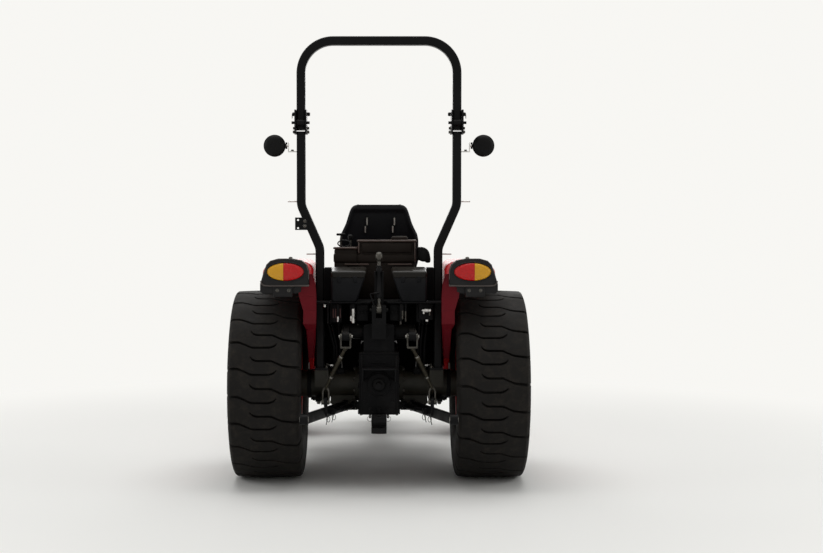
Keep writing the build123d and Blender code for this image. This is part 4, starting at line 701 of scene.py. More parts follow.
def seat_shell():
    """The moulded back shell: a raised rim round a recessed panel with ribs and two hanger slots."""
    lo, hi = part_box("seat_back_shell")
    rear = hi.y - 0.015
    foot, tall = Vector((0, rear, BACK_FOOT_Z)), BACK_TOP_Z - BACK_FOOT_Z - 0.003
    columns, rows = 48, 44
    verts = []
    for j in range(rows + 1):
        v = 1 - (1 - j / rows) ** 1.35
        wide = back_half(BACK_FOOT_Z + tall * min(v, 0.9935))
        for i in range(columns + 1):
            u = 2 * i / columns - 1
            rim = max(smooth(0.80, 0.93, abs(u)), smooth(0.86, 0.95, v))
            roll = 0.016 * (max(abs(u), 0.9) - 0.9) / 0.1 + 0.014 * max(0.0, v - 0.93) / 0.07
            ribs = 0.0025 * (abs((u * 7) % 1 - 0.5) < 0.12) * (0.12 < v < 0.35)
            verts.append(foot + X * u * wide + BACK_UP * (v * tall / cos(SEAT_LEAN))
                         - BACK_AHEAD * (-0.006 + 0.016 * rim - roll + ribs))
    mesh = bpy.data.meshes.new("seat_shell")
    mesh.from_pydata(verts, [], grid_faces(columns, rows))
    shell = add_piece("seat_shell", mesh, PLASTIC, smooth=50, replaces="seat_back_shell")
    wall = shell.modifiers.new("wall", "SOLIDIFY")
    wall.thickness, wall.offset = 0.006, -1
    rounded = shell.modifiers.new("round", "SUBSURF")
    rounded.levels = rounded.render_levels = 1

    clips, brace = Shape(), Shape()

    def face(x, z, off):
        return Vector((x, rear - math.tan(SEAT_LEAN) * (z - BACK_FOOT_Z) - off, z))
    for x in (-0.075, 0.088):
        for low, high, dx in ((1.474, 1.520, 0.004), (1.430, 1.470, -0.006)):
            brace.block(face(x + dx - 0.010, low - 0.006, 0.0005), face(x + dx + 0.010, high + 0.006, -0.0030), 0.002)
            clips.tube([face(x + dx, z, off) for z, off in
                        ((low, 0.001), (low + 0.002, 0.007), (high - 0.002, 0.007), (high, 0.001))], 0.0042, 10)
    clips.done("seat_back_clips", PIN_STEEL)
    brace.block((-0.07, lo.y + 0.052, lo.z + 0.004), (0.07, lo.y + 0.070, lo.z + 0.128), 0.006)
    for x in (-0.045, 0.045):
        for z in (0.095, 0.115):
            brace.hex_bolt((x, lo.y + 0.0525, lo.z + z), -Y, 0.012)
    brace.done("seat_back_brace", SATIN)


def apply_modifiers(piece):
    """Bakes a piece's modifiers into its mesh."""
    deps = bpy.context.evaluated_depsgraph_get()
    deps.update()
    mesh = bpy.data.meshes.new_from_object(piece.evaluated_get(deps), depsgraph=deps)
    piece.modifiers.clear()
    piece.data = mesh


def swell(piece, cap, seams):
    """Inflates a closed form with cloth held at its seams, and keeps each point near its start."""
    start = [v.co.copy() for v in piece.data.vertices]
    group = piece.vertex_groups.new(name="held")
    for v in piece.data.vertices:
        if seams(v.co) > 0.8:
            group.add([v.index], 1.0, "REPLACE")
    cloth = piece.modifiers.new("cloth", "CLOTH")
    settings = cloth.settings
    settings.use_pressure = True
    settings.uniform_pressure_force = CLOTH_PRESSURE
    settings.effector_weights.gravity = 0
    settings.quality = 6
    settings.vertex_group_mass = "held"
    settings.tension_stiffness = 12
    settings.bending_stiffness = 0.6
    cloth.point_cache.frame_start, cloth.point_cache.frame_end = 1, CLOTH_STEPS
    scene = bpy.context.scene
    for step in range(1, CLOTH_STEPS + 1):
        scene.frame_set(step)
        bpy.context.view_layer.update()
    apply_modifiers(piece)
    scene.frame_set(1)
    for v, home in zip(piece.data.vertices, start):
        move = v.co - home
        if move.length > cap:
            v.co = home + move.normalized() * cap


def pad(name, node, columns, rows, place, seams, cap):
    """A cushion from two grids of points, place(layer, u, v): swollen by cloth, seams pulled in, smoothed."""
    verts = [place(layer, 2 * i / columns - 1, j / rows)
             for layer in (0, 1) for j in range(rows + 1) for i in range(columns + 1)]
    wide, layer = columns + 1, len(verts) // 2
    low, high = grid_faces(columns, rows), grid_faces(columns, rows, layer)
    edge = ([j * wide for j in range(rows + 1)] + [rows * wide + i for i in range(1, wide)]
            + [j * wide + columns for j in range(rows - 1, -1, -1)] + [i for i in range(columns - 1, 0, -1)])
    form = Shape()
    form.faces(verts, [face[::-1] for face in low] + high
               + [(a, b, layer + b, layer + a) for a, b in zip(edge, edge[1:] + edge[:1])])
    piece = form.done(name, VINYL, smooth=0)
    bpy.context.view_layer.objects.active = piece
    remesh = piece.modifiers.new("remesh", "REMESH")
    remesh.mode = "VOXEL"
    remesh.voxel_size = PAD_VOXEL
    apply_modifiers(piece)
    swell(piece, cap, seams)
    mesh = piece.data
    normals = [v.normal.copy() for v in mesh.vertices]
    for v, normal in zip(mesh.vertices, normals):
        v.co -= normal * SEAM_DEPTH * seams(v.co)
    for polygon in mesh.polygons:
        polygon.use_smooth = True
    relax = piece.modifiers.new("relax", "SMOOTH")
    relax.iterations, relax.factor = 3, 0.5
    finer = piece.modifiers.new("finer", "SUBSURF")
    finer.levels = finer.render_levels = 1
    mesh.materials.clear()
    mesh.materials.append(VINYL)
    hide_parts(node)


def seam_pull(u, v, lines, side_width, top):
    """How far a pad is pulled in at (u, v): at the cross seams and along both bolsters."""
    def near(value, line, width):
        return max(0.0, 1 - abs(value - line) / width)
    across = max(near(v, line, 0.028) for line in lines) if abs(u) < 0.62 else 0.0
    return max(across, near(abs(u), 0.64, side_width) * (0.06 < v < top))


def seat_cushion():
    """The bottom cushion: bolsters at the sides, a roll in front and sewn channels between."""
    lo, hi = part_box("seat_cushion")
    mid, dims = (lo + hi) / 2, hi - lo
    inset = 0.007

    def place(layer, u, v):
        edge = abs(2 * v - 1)
        squeeze = (1 - 0.05 * (abs(u) > 0.99)
                   - 0.03 * smooth(0.86, 1.0, edge) * smooth(0.75, 1.0, abs(u)))
        fall = smooth(0.90, 1.0, max(abs(u), edge))
        top = (dims.z * 0.70 - inset + 0.020 * smooth(0.60, 0.85, abs(u))
               + 0.010 * smooth(0.72, 0.95, v) - 0.012 * smooth(0.93, 1.0, v))
        return Vector((mid.x + u * (dims.x / 2 - inset) * (1 - 0.09 * smooth(0.8, 1, v) * abs(u)),
                       lo.y + inset + v * (dims.y - 2 * inset) * squeeze,
                       lo.z + 0.004 + (top * (1 - 0.35 * fall) if layer else 0.006 * fall)))

    def seams(co):
        if co.z < lo.z + dims.z * 0.45:
            return 0.0
        return seam_pull((co.x - mid.x) / (dims.x / 2), (co.y - lo.y) / dims.y,
                         (0.22, 0.42, 0.62, 0.80), 0.035, 0.93)
    pad("seat_cushion_pad", "seat_cushion", 26, 24, place, seams, 0.010)
    piping = Shape()
    outline = rounded_box(dims.x - 0.010, dims.y - 0.012, 0.045, 6)
    piping.tube([(mid.x + a * (1 - 0.05 * (b > 0)), mid.y + b, lo.z + dims.z * 0.50) for a, b in outline],
                0.0042, 10, True)
    piping.done("seat_cushion_piping", PIPING)


def seat_backrest():
    """The back cushion: a padded panel with bolsters and channels, in front of the shell."""
    lo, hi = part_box("seat_backrest")
    high = (hi.z - lo.z) / cos(SEAT_LEAN) - 0.020
    foot = Vector((0, hi.y - 0.056, lo.z + 0.004))

    def half_at(v):
        return back_half(lo.z + 0.004 + v * (hi.z - lo.z - 0.022)) * 0.925 - 0.004

    def place(layer, u, v):
        out = 0.030 + 0.016 * smooth(0.55, 0.85, abs(u)) + 0.006 * sin(pi * v)
        fall = max(smooth(0.86, 1.0, abs(u)), smooth(0.90, 1.0, v), smooth(0.10, 0.0, v))
        drop = 0.030 * max(0.0, abs(u) - 0.45) ** 2 * smooth(0.8, 1, v)
        return (foot - X * u * half_at(v * 0.99) + BACK_UP * (v * high - drop)
                + BACK_AHEAD * (out * (1 - 0.5 * fall) if layer else 0.004 * fall))

    def seams(co):
        if (co - foot).dot(BACK_AHEAD) < 0.018:
            return 0.0
        v = (co - foot).dot(BACK_UP) / high
        u = co.x / half_at(max(0.0, min(1.0, v)))
        return seam_pull(u, v, (0.2, 0.38, 0.56, 0.74), 0.04, 0.90)
    pad("seat_back_pad", "seat_backrest", 24, 26, place, seams, 0.009)


# ---- Lamps ----
LENS_WIDTH, LENS_DOME, LENS_CUT_X, LENS_GAP, DOME_RINGS = 0.208, 0.020, 0.011, 0.0004, 10
# Millimetres out and up from the lens's middle
POD_OUTLINE = ((-130, -77), (-130, -43), (-128, 4), (-116, 38), (-90, 62), (-38, 72), (40, 72), (84, 60), (108, 36),
               (124, -8), (136, -50), (134, -66), (118, -76), (84, -78))
POD_APRON = ((-88, -70), (-84, -112), (-60, -122), (130, -124), (144, -110), (144, -66))
# How far back, the outline's share
POD_RINGS = ((0.004, 0.90), (0.0055, 0.945), (0.010, 0.98), (0.018, 1.0), (0.079, 1.0), (0.130, 0.97))


def tail_lenses():
    """Domed lenses, cut from one oval per side, in a bezel."""
    lo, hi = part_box("tail_lenses_red")
    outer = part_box("tail_lenses_amber")[1].x
    a, b = LENS_WIDTH / 2 - 0.0005, (hi.z - lo.z) / 2
    dome = [(k / DOME_RINGS, -LENS_DOME * math.sqrt(1 - (k / DOME_RINGS) ** 2)) for k in range(1, DOME_RINGS + 1)]
    for side, sign in SIDES:
        mid = Vector((sign * (outer - LENS_WIDTH / 2), lo.y + 0.0097, (lo.z + hi.z) / 2))

        def oval(back, share=1.0, wider=0.0):
            return loop(mid + Y * back, X * (a * share + wider), Z * (b * share + wider), 48)
        for name, surface, keep in (("red", LENS_RED, -sign), ("amber", LENS_AMBER, sign)):
            shape = Shape()
            shape.skin([[mid - Y * LENS_DOME]] + [oval(back, share) for share, back in dome] + [oval(0.008)])
            out = bmesh.ops.bisect_plane(
                shape.bm, geom=[*shape.bm.verts, *shape.bm.edges, *shape.bm.faces],
                plane_co=X * (mid.x + sign * LENS_CUT_X + keep * LENS_GAP), plane_no=X,
                clear_outer=keep < 0, clear_inner=keep > 0)
            bmesh.ops.contextual_create(
                shape.bm, geom=[e for e in out["geom_cut"] if isinstance(e, bmesh.types.BMEdge)])
            shape.done(f"tail_lens_{name}_{side}", surface, smooth=40, replaces=f"tail_lenses_{name}")
        trim = Shape()
        trim.tube(oval(-0.0035, wider=0.0030), 0.0036, 10, True)
        trim.done(f"tail_lens_bezel_{side}", HOUSING)


def tail_pods():
    """The tail-light housings with a bottom lip and a top seam in a lighter grey that paints their highlight, a knob,
    a bracket and its bolts.
    """
    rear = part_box("tail_light_pods")[0].y
    lo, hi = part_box("tail_lenses_amber")
    for side, sign in SIDES:
        def place(dx, dz, back):
            return Vector((sign * (hi.x - LENS_WIDTH / 2 + dx / 1000), rear + back, (lo.z + hi.z) / 2 + dz / 1000))
        shell, edge, grey = Shape(), Shape(), Shape()
        shell.skin([[place(dx * share, (dz + 4) * share - 4, back) for dx, dz in POD_OUTLINE]
                    for back, share in POD_RINGS])
        shell.block(place(-38, -140, 0.016), place(68, -72, 0.044), 0.004)
        shell.plate([(dx / 1000, dz / 1000) for dx, dz in POD_APRON], place(0, 0, 0.042), X * sign, Z,
                    -0.004 * sign, 0.001)
        shell.done(f"tail_pod_{side}", HOUSING, smooth=40, replaces="tail_light_pods")
        foot = POD_OUTLINE[:1] + POD_OUTLINE[-1:] + POD_OUTLINE[-2:-5:-1]
        # The lip and the seam are lighter than the housing: a painted highlight
        edge.tube([place(dx, dz, 0.008) for dx, dz in foot], 0.0052, 10)
        edge.tube([place(dx * 0.985, dz * 0.985, 0.008) for dx, dz in POD_OUTLINE[1:9]], 0.0026, 8)
        edge.done(f"tail_pod_highlight_edges_{side}", POD_EDGE_PAINTED_HIGHLIGHT)
        grey.lathe(place(-26, 69, 0.055), Z, [(0, 0.011), (0.008, 0.011), (0.012, 0.007), (0.0135, 0)], 20)
        for dx in (-18, 46):
            grey.hex_bolt(place(dx, -104, 0.0165), -Y, 0.010)
        grey.done(f"tail_pod_bolts_{side}", DARK_STEEL)


def warning_lamps():
    """Round lamps: a domed black back, a ribbed ring, an amber lens ahead, and a wing nut."""
    lo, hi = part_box("warning_lamps")
    r = (hi.z - lo.z) / 2
    for side, sign in SIDES:
        at = Vector((sign * (hi.x - r), lo.y, (hi.z + lo.z) / 2))
        body, glass, nut = Shape(), Shape(), Shape()
        body.lathe(at, Y, [(0, 0), (0.0005, r * 0.30), (0.004, r * 0.58), (0.011, r * 0.82), (0.018, r * 0.93),
                           (0.021, r * 0.985), (0.025, r), (0.034, r), (0.037, r * 0.97), (0.0375, r * 0.90),
                           (0.030, r * 0.88)], 64)
        for screw in loop(at + Y * 0.006, X * r * 0.72, Z * r * 0.72, 3, 30):
            body.hex_bolt(screw, -Y, 0.005, False)
        body.done(f"warning_lamp_body_{side}", KNOB, replaces="warning_lamps")
        glass.lathe(at + Y * 0.0302, Y, [(0, r * 0.875), (0.007, r * 0.86), (0.011, r * 0.6), (0.0135, r * 0.3),
                                         (0.0137, 0)], 64)
        glass.done(f"warning_lamp_lens_{side}", LENS_AMBER)
        foot = at - X * sign * (r - 0.002)
        nut.lathe(foot + Y * 0.022, -X * sign, [(0, 0.009), (0.006, 0.009), (0.008, 0.006)], 18)
        for way in (-1, 1):
            nut.block(foot + Vector((-sign * 0.012, 0.020, way * 0.004)),
                      foot + Vector((-sign * 0.002, 0.024, way * 0.019)), 0.0018)
        nut.done(f"warning_lamp_nut_{side}", KNOB)


def headlamps():
    """Each headlamp: a chrome bowl with a bulb behind clear glass, in a black ring."""
    lo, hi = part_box("headlamps")
    r = (hi.z - lo.z) / 2
    for side, sign in SIDES:
        at = Vector((sign * (hi.x - r), lo.y, (hi.z + lo.z) / 2))
        front = at + Y * (hi.y - lo.y)
        bowl, glass, ring = Shape(), Shape(), Shape()
        bowl.lathe(at, Y, [(0, r * 0.35), (0.014, r * 0.72), (0.030, r * 0.95), (0.036, r * 0.97), (0.036, r * 0.90),
                           (0.030, r * 0.86), (0.016, r * 0.62), (0.006, r * 0.2)], 48)
        bowl.lathe(at + Y * 0.006, Y, [(0, 0.007), (0.012, 0.007), (0.016, 0.004), (0.017, 0)], 16)
        bowl.done(f"headlamp_bowl_{side}", CHROME, "bonnet", replaces="headlamps")
        glass.lathe(front - Y * 0.006, Y, [(0, r * 0.93), (0.003, r * 0.93), (0.006, r * 0.7), (0.0075, r * 0.35),
                                           (0.008, 0)], 48)
        glass.done(f"headlamp_glass_{side}", LENS_CLEAR, "bonnet")
        ring.tube(loop(front + Y * 0.001, X * (r + 0.001), Z * (r + 0.001), 48), 0.0035, 10, True)
        ring.done(f"headlamp_ring_{side}", KNOB, "bonnet")


# ---- Station ----
LID_SLOPE, LID_HIGH, COVER_INNER = 0.024, 0.034, 0.068
CONSOLE_WAIST = 1.249
LEVER_X = (-0.225, -0.165)


def covers():
    """The two moulded boxes at the rear of the deck: slanted inner sides, sloped glossy lids, latches."""
    lo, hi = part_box("cover_boxes")
    deep, seam = hi.y - lo.y, hi.z - LID_HIGH
    for side, sign in SIDES:
        def ring(z, step, drop=LID_SLOPE):
            inner = COVER_INNER + 0.056 * (hi.z - z) / (hi.z - lo.z) + step
            outer = hi.x - step
            outline = rounded_box(outer - inner, deep - 2 * step, max(0.004, 0.016 - step * 0.5))
            return [(sign * ((inner + outer) / 2 + a), (lo.y + hi.y) / 2 + b, z - drop * (0.5 - b / deep))
                    for a, b in outline]
        box, lid = Shape(), Shape()
        box.skin([ring(lo.z, 0.004, 0), ring(lo.z + 0.006, 0.0, 0), ring(seam - 0.004, 0.0),
                  ring(seam - 0.001, 0.003)])
        lid.skin([ring(seam - 0.001, 0.0035), ring(seam + 0.001, 0.0), ring(hi.z - 0.012, 0.0),
                  ring(hi.z - 0.006, 0.0022), ring(hi.z - 0.0018, 0.0075), ring(hi.z, 0.015)])
        for x in (0.135, 0.225):
            box.block((sign * x - 0.011, lo.y - 0.004, seam - 0.052), (sign * x + 0.011, lo.y + 0.004, seam - 0.018))
        box.done(f"cover_box_{side}", PLASTIC, smooth=50, replaces="cover_boxes")
        lid.done(f"cover_lid_{side}", LID, smooth=50, replaces="cover_boxes")


def console():
    """The console's boxes with ledges in a lighter brown that paints the highlight along their top edges, a lever gate
    and a curved grip.
    """
    lo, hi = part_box("rear_console")
    waist = CONSOLE_WAIST - hi.z

    def blocks(shape, rows):
        """x from and to, y from the console's rear and z from its top, bevel and its segments."""
        for x0, x1, y0, y1, z0, z1, bevel, segments in rows:
            shape.block((x0, lo.y + y0, hi.z + z0), (x1, lo.y + y1, hi.z + z1), bevel, None, segments)
    deep, foot = hi.y - lo.y, lo.z - hi.z
    box, ledge, grip, gate = Shape(), Shape(), Shape(), Shape()
    blocks(box, ((-0.121, 0.211, 0.004, deep, foot, -0.030, 0.010, 2),
                 (-0.126, 0.216, -0.004, deep + 0.002, waist + 0.008, waist + 0.058, 0.010, 3),
                 (-0.261, -0.1225, 0.012, deep - 0.02, foot, -0.071, 0.012, 2),
                 (-0.265, -0.1225, 0.004, deep - 0.018, waist + 0.008, waist + 0.062, 0.010, 3),
                 (0.072, 0.168, 0.03, 0.13, -0.026, 0.0, 0.012, 4),
                 (-0.100, 0.192, -0.008, 0.008, waist + 0.066, -0.040, 0.006, 2)))
    box.done("console_boxes", CONSOLE, replaces="rear_console")
    blocks(ledge, ((-0.129, 0.219, -0.007, deep + 0.002, -0.034, -0.021, 0.006, 3),
                   (-0.267, -0.1235, -0.001, deep - 0.016, -0.075, -0.063, 0.005, 3),
                   (-0.200, -0.060, -0.012, 0.03, waist - 0.006, waist + 0.003, 0.003, 2),
                   (0.050, 0.190, -0.012, 0.03, waist - 0.006, waist + 0.003, 0.003, 2),
                   (-0.122, -0.114, -0.010, 0.006, waist + 0.064, -0.036, 0.002, 2),
                   (0.205, 0.212, -0.010, 0.006, waist + 0.012, -0.036, 0.002, 2)))
    # The ledges' lighter brown paints the highlight on the console's top edges
    ledge.done("console_ledges", LEDGE_PAINTED_HIGHLIGHT)
    outline = ([(0.222, 1.345), (0.246, 1.349)] + arc((0.250, 1.300), 0.047, 84, 8, 7)
               + [(0.302, 1.282), (0.302, 1.262), (0.294, 1.254), (0.272, 1.256), (0.262, 1.270), (0.240, 1.276),
                  (0.222, 1.262)])
    grip.plate(outline, (0, lo.y + 0.118, 0), X, Z, 0.088, 0.009)
    grip.done("console_grip", KNOB)
    blocks(gate, ((-0.02, 0.055, 0.05, 0.14, -0.023, -0.018, 0.002, 2),
                  (0.10, 0.14, 0.045, 0.115, -0.001, 0.002, 0.002, 2)))
    gate.done("console_gates", KNOB)


def console_levers():
    """Two levers with their knobs, and the ring handle beside the left one."""
    lo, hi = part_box("console_levers")
    left, right = Vector((LEVER_X[0], lo.y + 0.017, 0)), Vector((LEVER_X[1], hi.y - 0.017, 0))
    levers, knobs, handle = Shape(), Shape(), Shape()
    for foot, lean, down in ((left, 0.003, 0.020), (right, -0.003, 0.03)):
        levers.tube([foot + Z * lo.z, foot + Z * (lo.z + 0.03), foot + Vector((lean, -0.003, hi.z - down))], 0.005)
    levers.done("console_lever_stems", DARK_STEEL, replaces="console_levers")
    knobs.block(left + Vector((-0.025, -0.014, hi.z - 0.023)), left + Vector((0.029, 0.008, hi.z - 0.009)), 0.006,
                segments=3)
    knobs.lathe(right + Vector((-0.003, -0.003, hi.z - 0.050)), Z,
                [(0, 0.007), (0.008, 0.011), (0.020, 0.0150), (0.028, 0.0135), (0.033, 0.008), (0.0345, 0)], 24)
    knobs.done("console_knobs", KNOB)
    handle.tube(loop(left + Vector((0.020, -0.014, lo.z + 0.020)), X * 0.036, Z * 0.019, 32), 0.0038, 10, True)
    handle.done("console_handle", HOUSING)


def steering():
    """A padded rim with finger bumps, pressed spokes and a cap, and a boot on the column."""
    at, axis = pivot("steering_wheel_turn"), Vector(JOINTS["steering_wheel_turn"]["axis"]).normalized()
    turn = axis.to_track_quat("Z", "Y").to_matrix()
    rim, hub, boot = Shape(), Shape(), Shape()
    rings, steps, bumps = [], 108, 36
    for angle in (2 * pi * i / steps for i in range(steps)):
        out, r = turn @ Vector((cos(angle), sin(angle), 0)), 0.0125 * (1 + 0.06 * cos(angle * bumps))
        rings.append(loop(at + out * 0.185, out * r, axis * r, 14))
    rim.skin(rings, True)
    rim.done("steering_rim", GRIP, "steering_wheel", smooth=60, replaces="steering_wheel")
    for angle in (0, pi, 1.5 * pi):
        way = turn @ Vector((cos(angle), sin(angle), 0))
        corners = []
        for x, wide, high in ((0.030, 0.017, -0.008), (0.175, 0.011, 0.0)):
            mid = at + way * x + axis * high
            corners += [mid + axis.cross(way) * wide * a + axis * 0.003 * b
                        for a, b in ((1, -1), (-1, -1), (-1, 1), (1, 1))]
        hub.faces(corners, BOX_FACES)
    hub.lathe(at - axis * 0.026, axis, [(0, 0.036), (0.006, 0.040), (0.028, 0.040), (0.034, 0.034), (0.040, 0.022),
                                        (0.041, 0)], 36)
    hub.rod(at - axis * 0.115, at - axis * 0.020, 0.0098)
    hub.done("steering_hub", PLASTIC, "steering_wheel")
    profile = [(0, 0.052)]
    for i in range(5):
        profile += [(0.006 + i * 0.012, 0.050 - i * 0.002), (0.012 + i * 0.012, 0.0415 - i * 0.0015)]
    boot.lathe(at - axis * 0.235, axis, profile + [(0.070, 0.036)], 36)
    boot.done("column_boot", GRIP, slot="dark_plastic")


def dash_details():
    """An instrument panel with three dials and four switches, and the cowl's side vents."""
    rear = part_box("bonnet")[0].y
    middle = Vector((0, rear - 0.160, 1.134))
    up = Vector((0, 0.79, 0.615)).normalized()
    out = X.cross(up)
    panel, dials, marks, rims, switches, vents = (Shape() for _ in range(6))
    panel.plate(rounded_box(0.30, 0.092, 0.02), middle - out * 0.002, X, up, 0.006)
    panel.done("instrument_panel", KNOB)
    for x, r in ((-0.085, 0.030), (0.0, 0.038), (0.085, 0.030)):
        at = middle + X * x + out * 0.0045
        rims.lathe(at, out, [(0, r + 0.003), (0.007, r + 0.002), (0.007, r - 0.001), (0.002, r - 0.0015)], 40)
        dials.lathe(at + out * 0.0021, out, [(0, r - 0.002), (0.0006, r - 0.002)], 40)
        for i in range(11):
            angle = radians(225 - i * 27)
            way = X * cos(angle) + up * sin(angle)
            start = at + out * 0.0030 + way * (r * 0.72)
            marks.rod(start, start + way * r * 0.17, 0.0007, 6)
        needle = X * cos(radians(120)) + up * sin(radians(120))
        marks.rod(at + out * 0.0034 - needle * 0.004, at + out * 0.0034 + needle * r * 0.66, 0.0009, 6)
    rims.done("dial_rims", KNOB)
    dials.done("dial_faces", SATIN, slot="dark_plastic")
    marks.done("dial_marks", PRINT)
    for x in (-0.155, 0.155):
        for step in (-0.018, 0.018):
            switches.lathe(middle + X * x + up * step + out * 0.001, out,
                           [(-0.004, 0.011), (0.004, 0.011), (0.006, 0.009), (0.016, 0.008), (0.017, 0)], 20)
    switches.done("dash_switches", KNOB)
    for _, sign in SIDES:
        for i in range(6):
            z = 0.80 + i * 0.035
            vents.block((sign * 0.2035, rear - 0.115, z), (sign * 0.2075, rear - 0.045, z + 0.016), 0.0015)
    vents.done("cowl_vents", KNOB)


def foot_controls():
    """Ribbed rubber pads on the pedals, mats on the floor and round treads on the steps."""
    pads, mats, treads = Shape(), Shape(), Shape()
    tilt = Matrix.Rotation(radians(55), 3, "X")
    for x, y in ((-0.255, 0.905), (0.235, 0.890), (0.315, 0.890)):
        at = at_axle(x, y, 0.690)
        ribs = [(tilt @ Vector((0, -0.026 + i * 0.013, 0.0075)), Vector((0.030, 0.004, 0.0022)), 0.0015)
                for i in range(5)]
        for off, half, bevel in ribs + [(tilt @ Z * 0.0065, Vector((0.033, 0.038, 0.001)), 0.001)]:
            pads.block(at + off - half, at + off + half, bevel, tilt)
    pads.done("pedal_pads", GRIP)
    lo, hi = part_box("platform")
    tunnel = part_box("engine_block")[1].x + 0.022
    for _, sign in SIDES:
        x0, x1 = sorted((sign * (tunnel + 0.012), sign * (hi.x - 0.045)))
        mats.block((x0, lo.y + 0.345, hi.z), (x1, hi.y - 0.05, hi.z + 0.004), 0.0015)
        for i in range(9):
            x = x0 + 0.02 + i * (x1 - x0 - 0.04) / 8
            mats.block((x - 0.006, lo.y + 0.36, hi.z + 0.003), (x + 0.006, hi.y - 0.065, hi.z + 0.0065), 0.0015)
        for i in range(7):
            for j in range(8):
                treads.lathe((sign * (hi.x - 0.145 + i * 0.0215), lo.y + 0.367 + j * 0.0265 + (i % 2) * 0.012,
                              lo.z + 0.008), Z, [(0, 0.006), (0.0022, 0.0048)], 8)
    mats.done("floor_mats", GRIP)
    treads.done("step_treads", SATIN)


# ---- Hitch ----
PTO_Z, CASE_REAR, VALVES_Y = 0.578, AXLE.y - 0.330, AXLE.y - 0.335
# x, foot, height, radius, whether it is plated
COUPLERS = ((-0.145, 0.922, 0.085, 0.0105, True), (-0.158, 0.935, 0.030, 0.0055, True),
            (0.132, 0.945, 0.050, 0.0075, False), (0.150, 0.932, 0.060, 0.0055, False),
            (0.122, 0.915, 0.020, 0.008, False), (-0.232, 0.930, 0.032, 0.0065, True))
# x from and to, how far ahead of the couplers from and to, height from and to
VALVE_BLOCKS = ((-0.128, -0.060, 0.020, 0.110, 0.935, 1.030), (0.060, 0.120, 0.020, 0.110, 0.935, 1.030),
                (-0.266, -0.211, 0.030, 0.080, 0.925, 1.030), (0.211, 0.240, 0.050, 0.080, 0.925, 1.030),
                (0.225, 0.306, 0.020, 0.050, 0.940, 1.034))


def lift_rods():
    """Forged forks, a turnbuckle between lock nuts, and a bowed lower fork over the link's lug."""
    for side, sign in SIDES:
        body = f"lift_rod_{side}"
        lo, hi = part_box(body)
        top, foot = pivot(f"{body}_turn"), at_axle(sign * (max(-lo.x, hi.x) - 0.0285), -0.430, lo.z + 0.014)
        forks, rods, bright = Shape(), Shape(), Shape()
        for cheek in (-X, X):
            forks.block(top + cheek * 0.0217 - Vector((0, 0.012, 0.062)),
                        top + cheek * 0.0305 + Vector((0, 0.012, 0.006)), 0.0035)
            forks.lathe(top + cheek * 0.0217, cheek, [(0, 0.0165), (0.0085, 0.0165), (0.0095, 0.015)], 28)
            forks.tube([foot + cheek * 0.0168 + Z * z for z in (-0.008, 0.02, 0.05)], 0.0062)
            forks.lathe(foot + cheek * 0.0106, cheek, [(0, 0.0145), (0.009, 0.0145), (0.010, 0.013)], 24)
        forks.tube(loop(foot + Z * 0.050, X * 0.0168, Z * 0.030, 24)[:13], 0.0062)
        forks.block(top - Vector((0.0305, 0.012, 0.068)), top + Vector((0.0305, 0.012, -0.055)), 0.005, segments=3)
        forks.done(f"lift_rod_forks_{side}", DARK_STEEL, body, replaces=body)
        start, end = top - Z * 0.062, foot + Z * 0.078
        way, turned, long = end - start, foot + Z * 0.148 - top, (end - start).length
        rods.lathe(start, way, [(0, 0.013), (0.012, 0.014), (0.018, 0.0095), (long * 0.9, 0.0085), (long, 0.0085)], 24)
        rods.lathe(start + way * 0.24, turned, [(0, 0.0125), (0.003, 0.0142), (0.020, 0.0142), (0.026, 0.0125),
                                                (long * 0.46 - 0.006, 0.0125), (long * 0.46, 0.011)], 24)
        rods.done(f"lift_rod_screw_{side}", OLIVE_STEEL, body, replaces=body)
        for share in (0.215, 0.715):
            bright.lathe(start + way * share, turned, [(0, 0.0125), (0.008, 0.0125)], 6)
        bright.rod(top - X * 0.0385, top + X * 0.0385, 0.0085)
        bright.rod(foot - X * 0.0275, foot + X * 0.0275, 0.0085)
        for pin, reach in ((top, 0.034), (foot, 0.0235)):
            bright.tube(loop(pin + X * sign * reach - Z * 0.004, Y * 0.013, Z * 0.013, 12), 0.0015, 6, True)
        bright.done(f"lift_rod_pins_{side}", PIN_STEEL, body)


def link_details():
    """Ball ends with seals on the lower links, their front pins' clips, and the stabilizers' nuts."""
    for side, sign in SIDES:
        body = f"lower_link_{side}"
        end, out = Vector((sign * 0.400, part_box(body)[0].y + 0.028, 0.440)), X * sign
        start = pivot(f"{body}_raise")
        bright, dark = Shape(), Shape()
        bright.collar(end, X, [(-0.0238, 0.0115), (-0.0238, 0.0150), (-0.018, 0.0185), (0, 0.0205), (0.018, 0.0185),
                               (0.0238, 0.0150), (0.0238, 0.0115)], 36)
        for way in (-1, 1):
            dark.collar(end + X * way * 0.0205, X, [(-0.001, 0.0195), (-0.001, 0.0262), (0.0012, 0.0262),
                                                    (0.0018, 0.0195)], 36)
        bright.lathe(start + out * 0.0152, out, [(0, 0.019), (0.003, 0.019), (0.003, 0.0125), (0.0125, 0.0125),
                                                 (0.0128, 0)], 24)
        bright.tube(loop(start + out * 0.0215 - Z * 0.006, Y * 0.017, Z * 0.017, 15), 0.0016, 6, True)
        bright.done(f"link_ball_{side}", PIN_STEEL, body)
        dark.lathe(at_axle(sign * 0.2945, -0.372, 0.430), (-0.94 * sign, 0.2, 0.1), [(0, 0.015), (0.006, 0.015)], 6)
        dark.done(f"link_seals_{side}", KNOB, body, slot="black_paint")


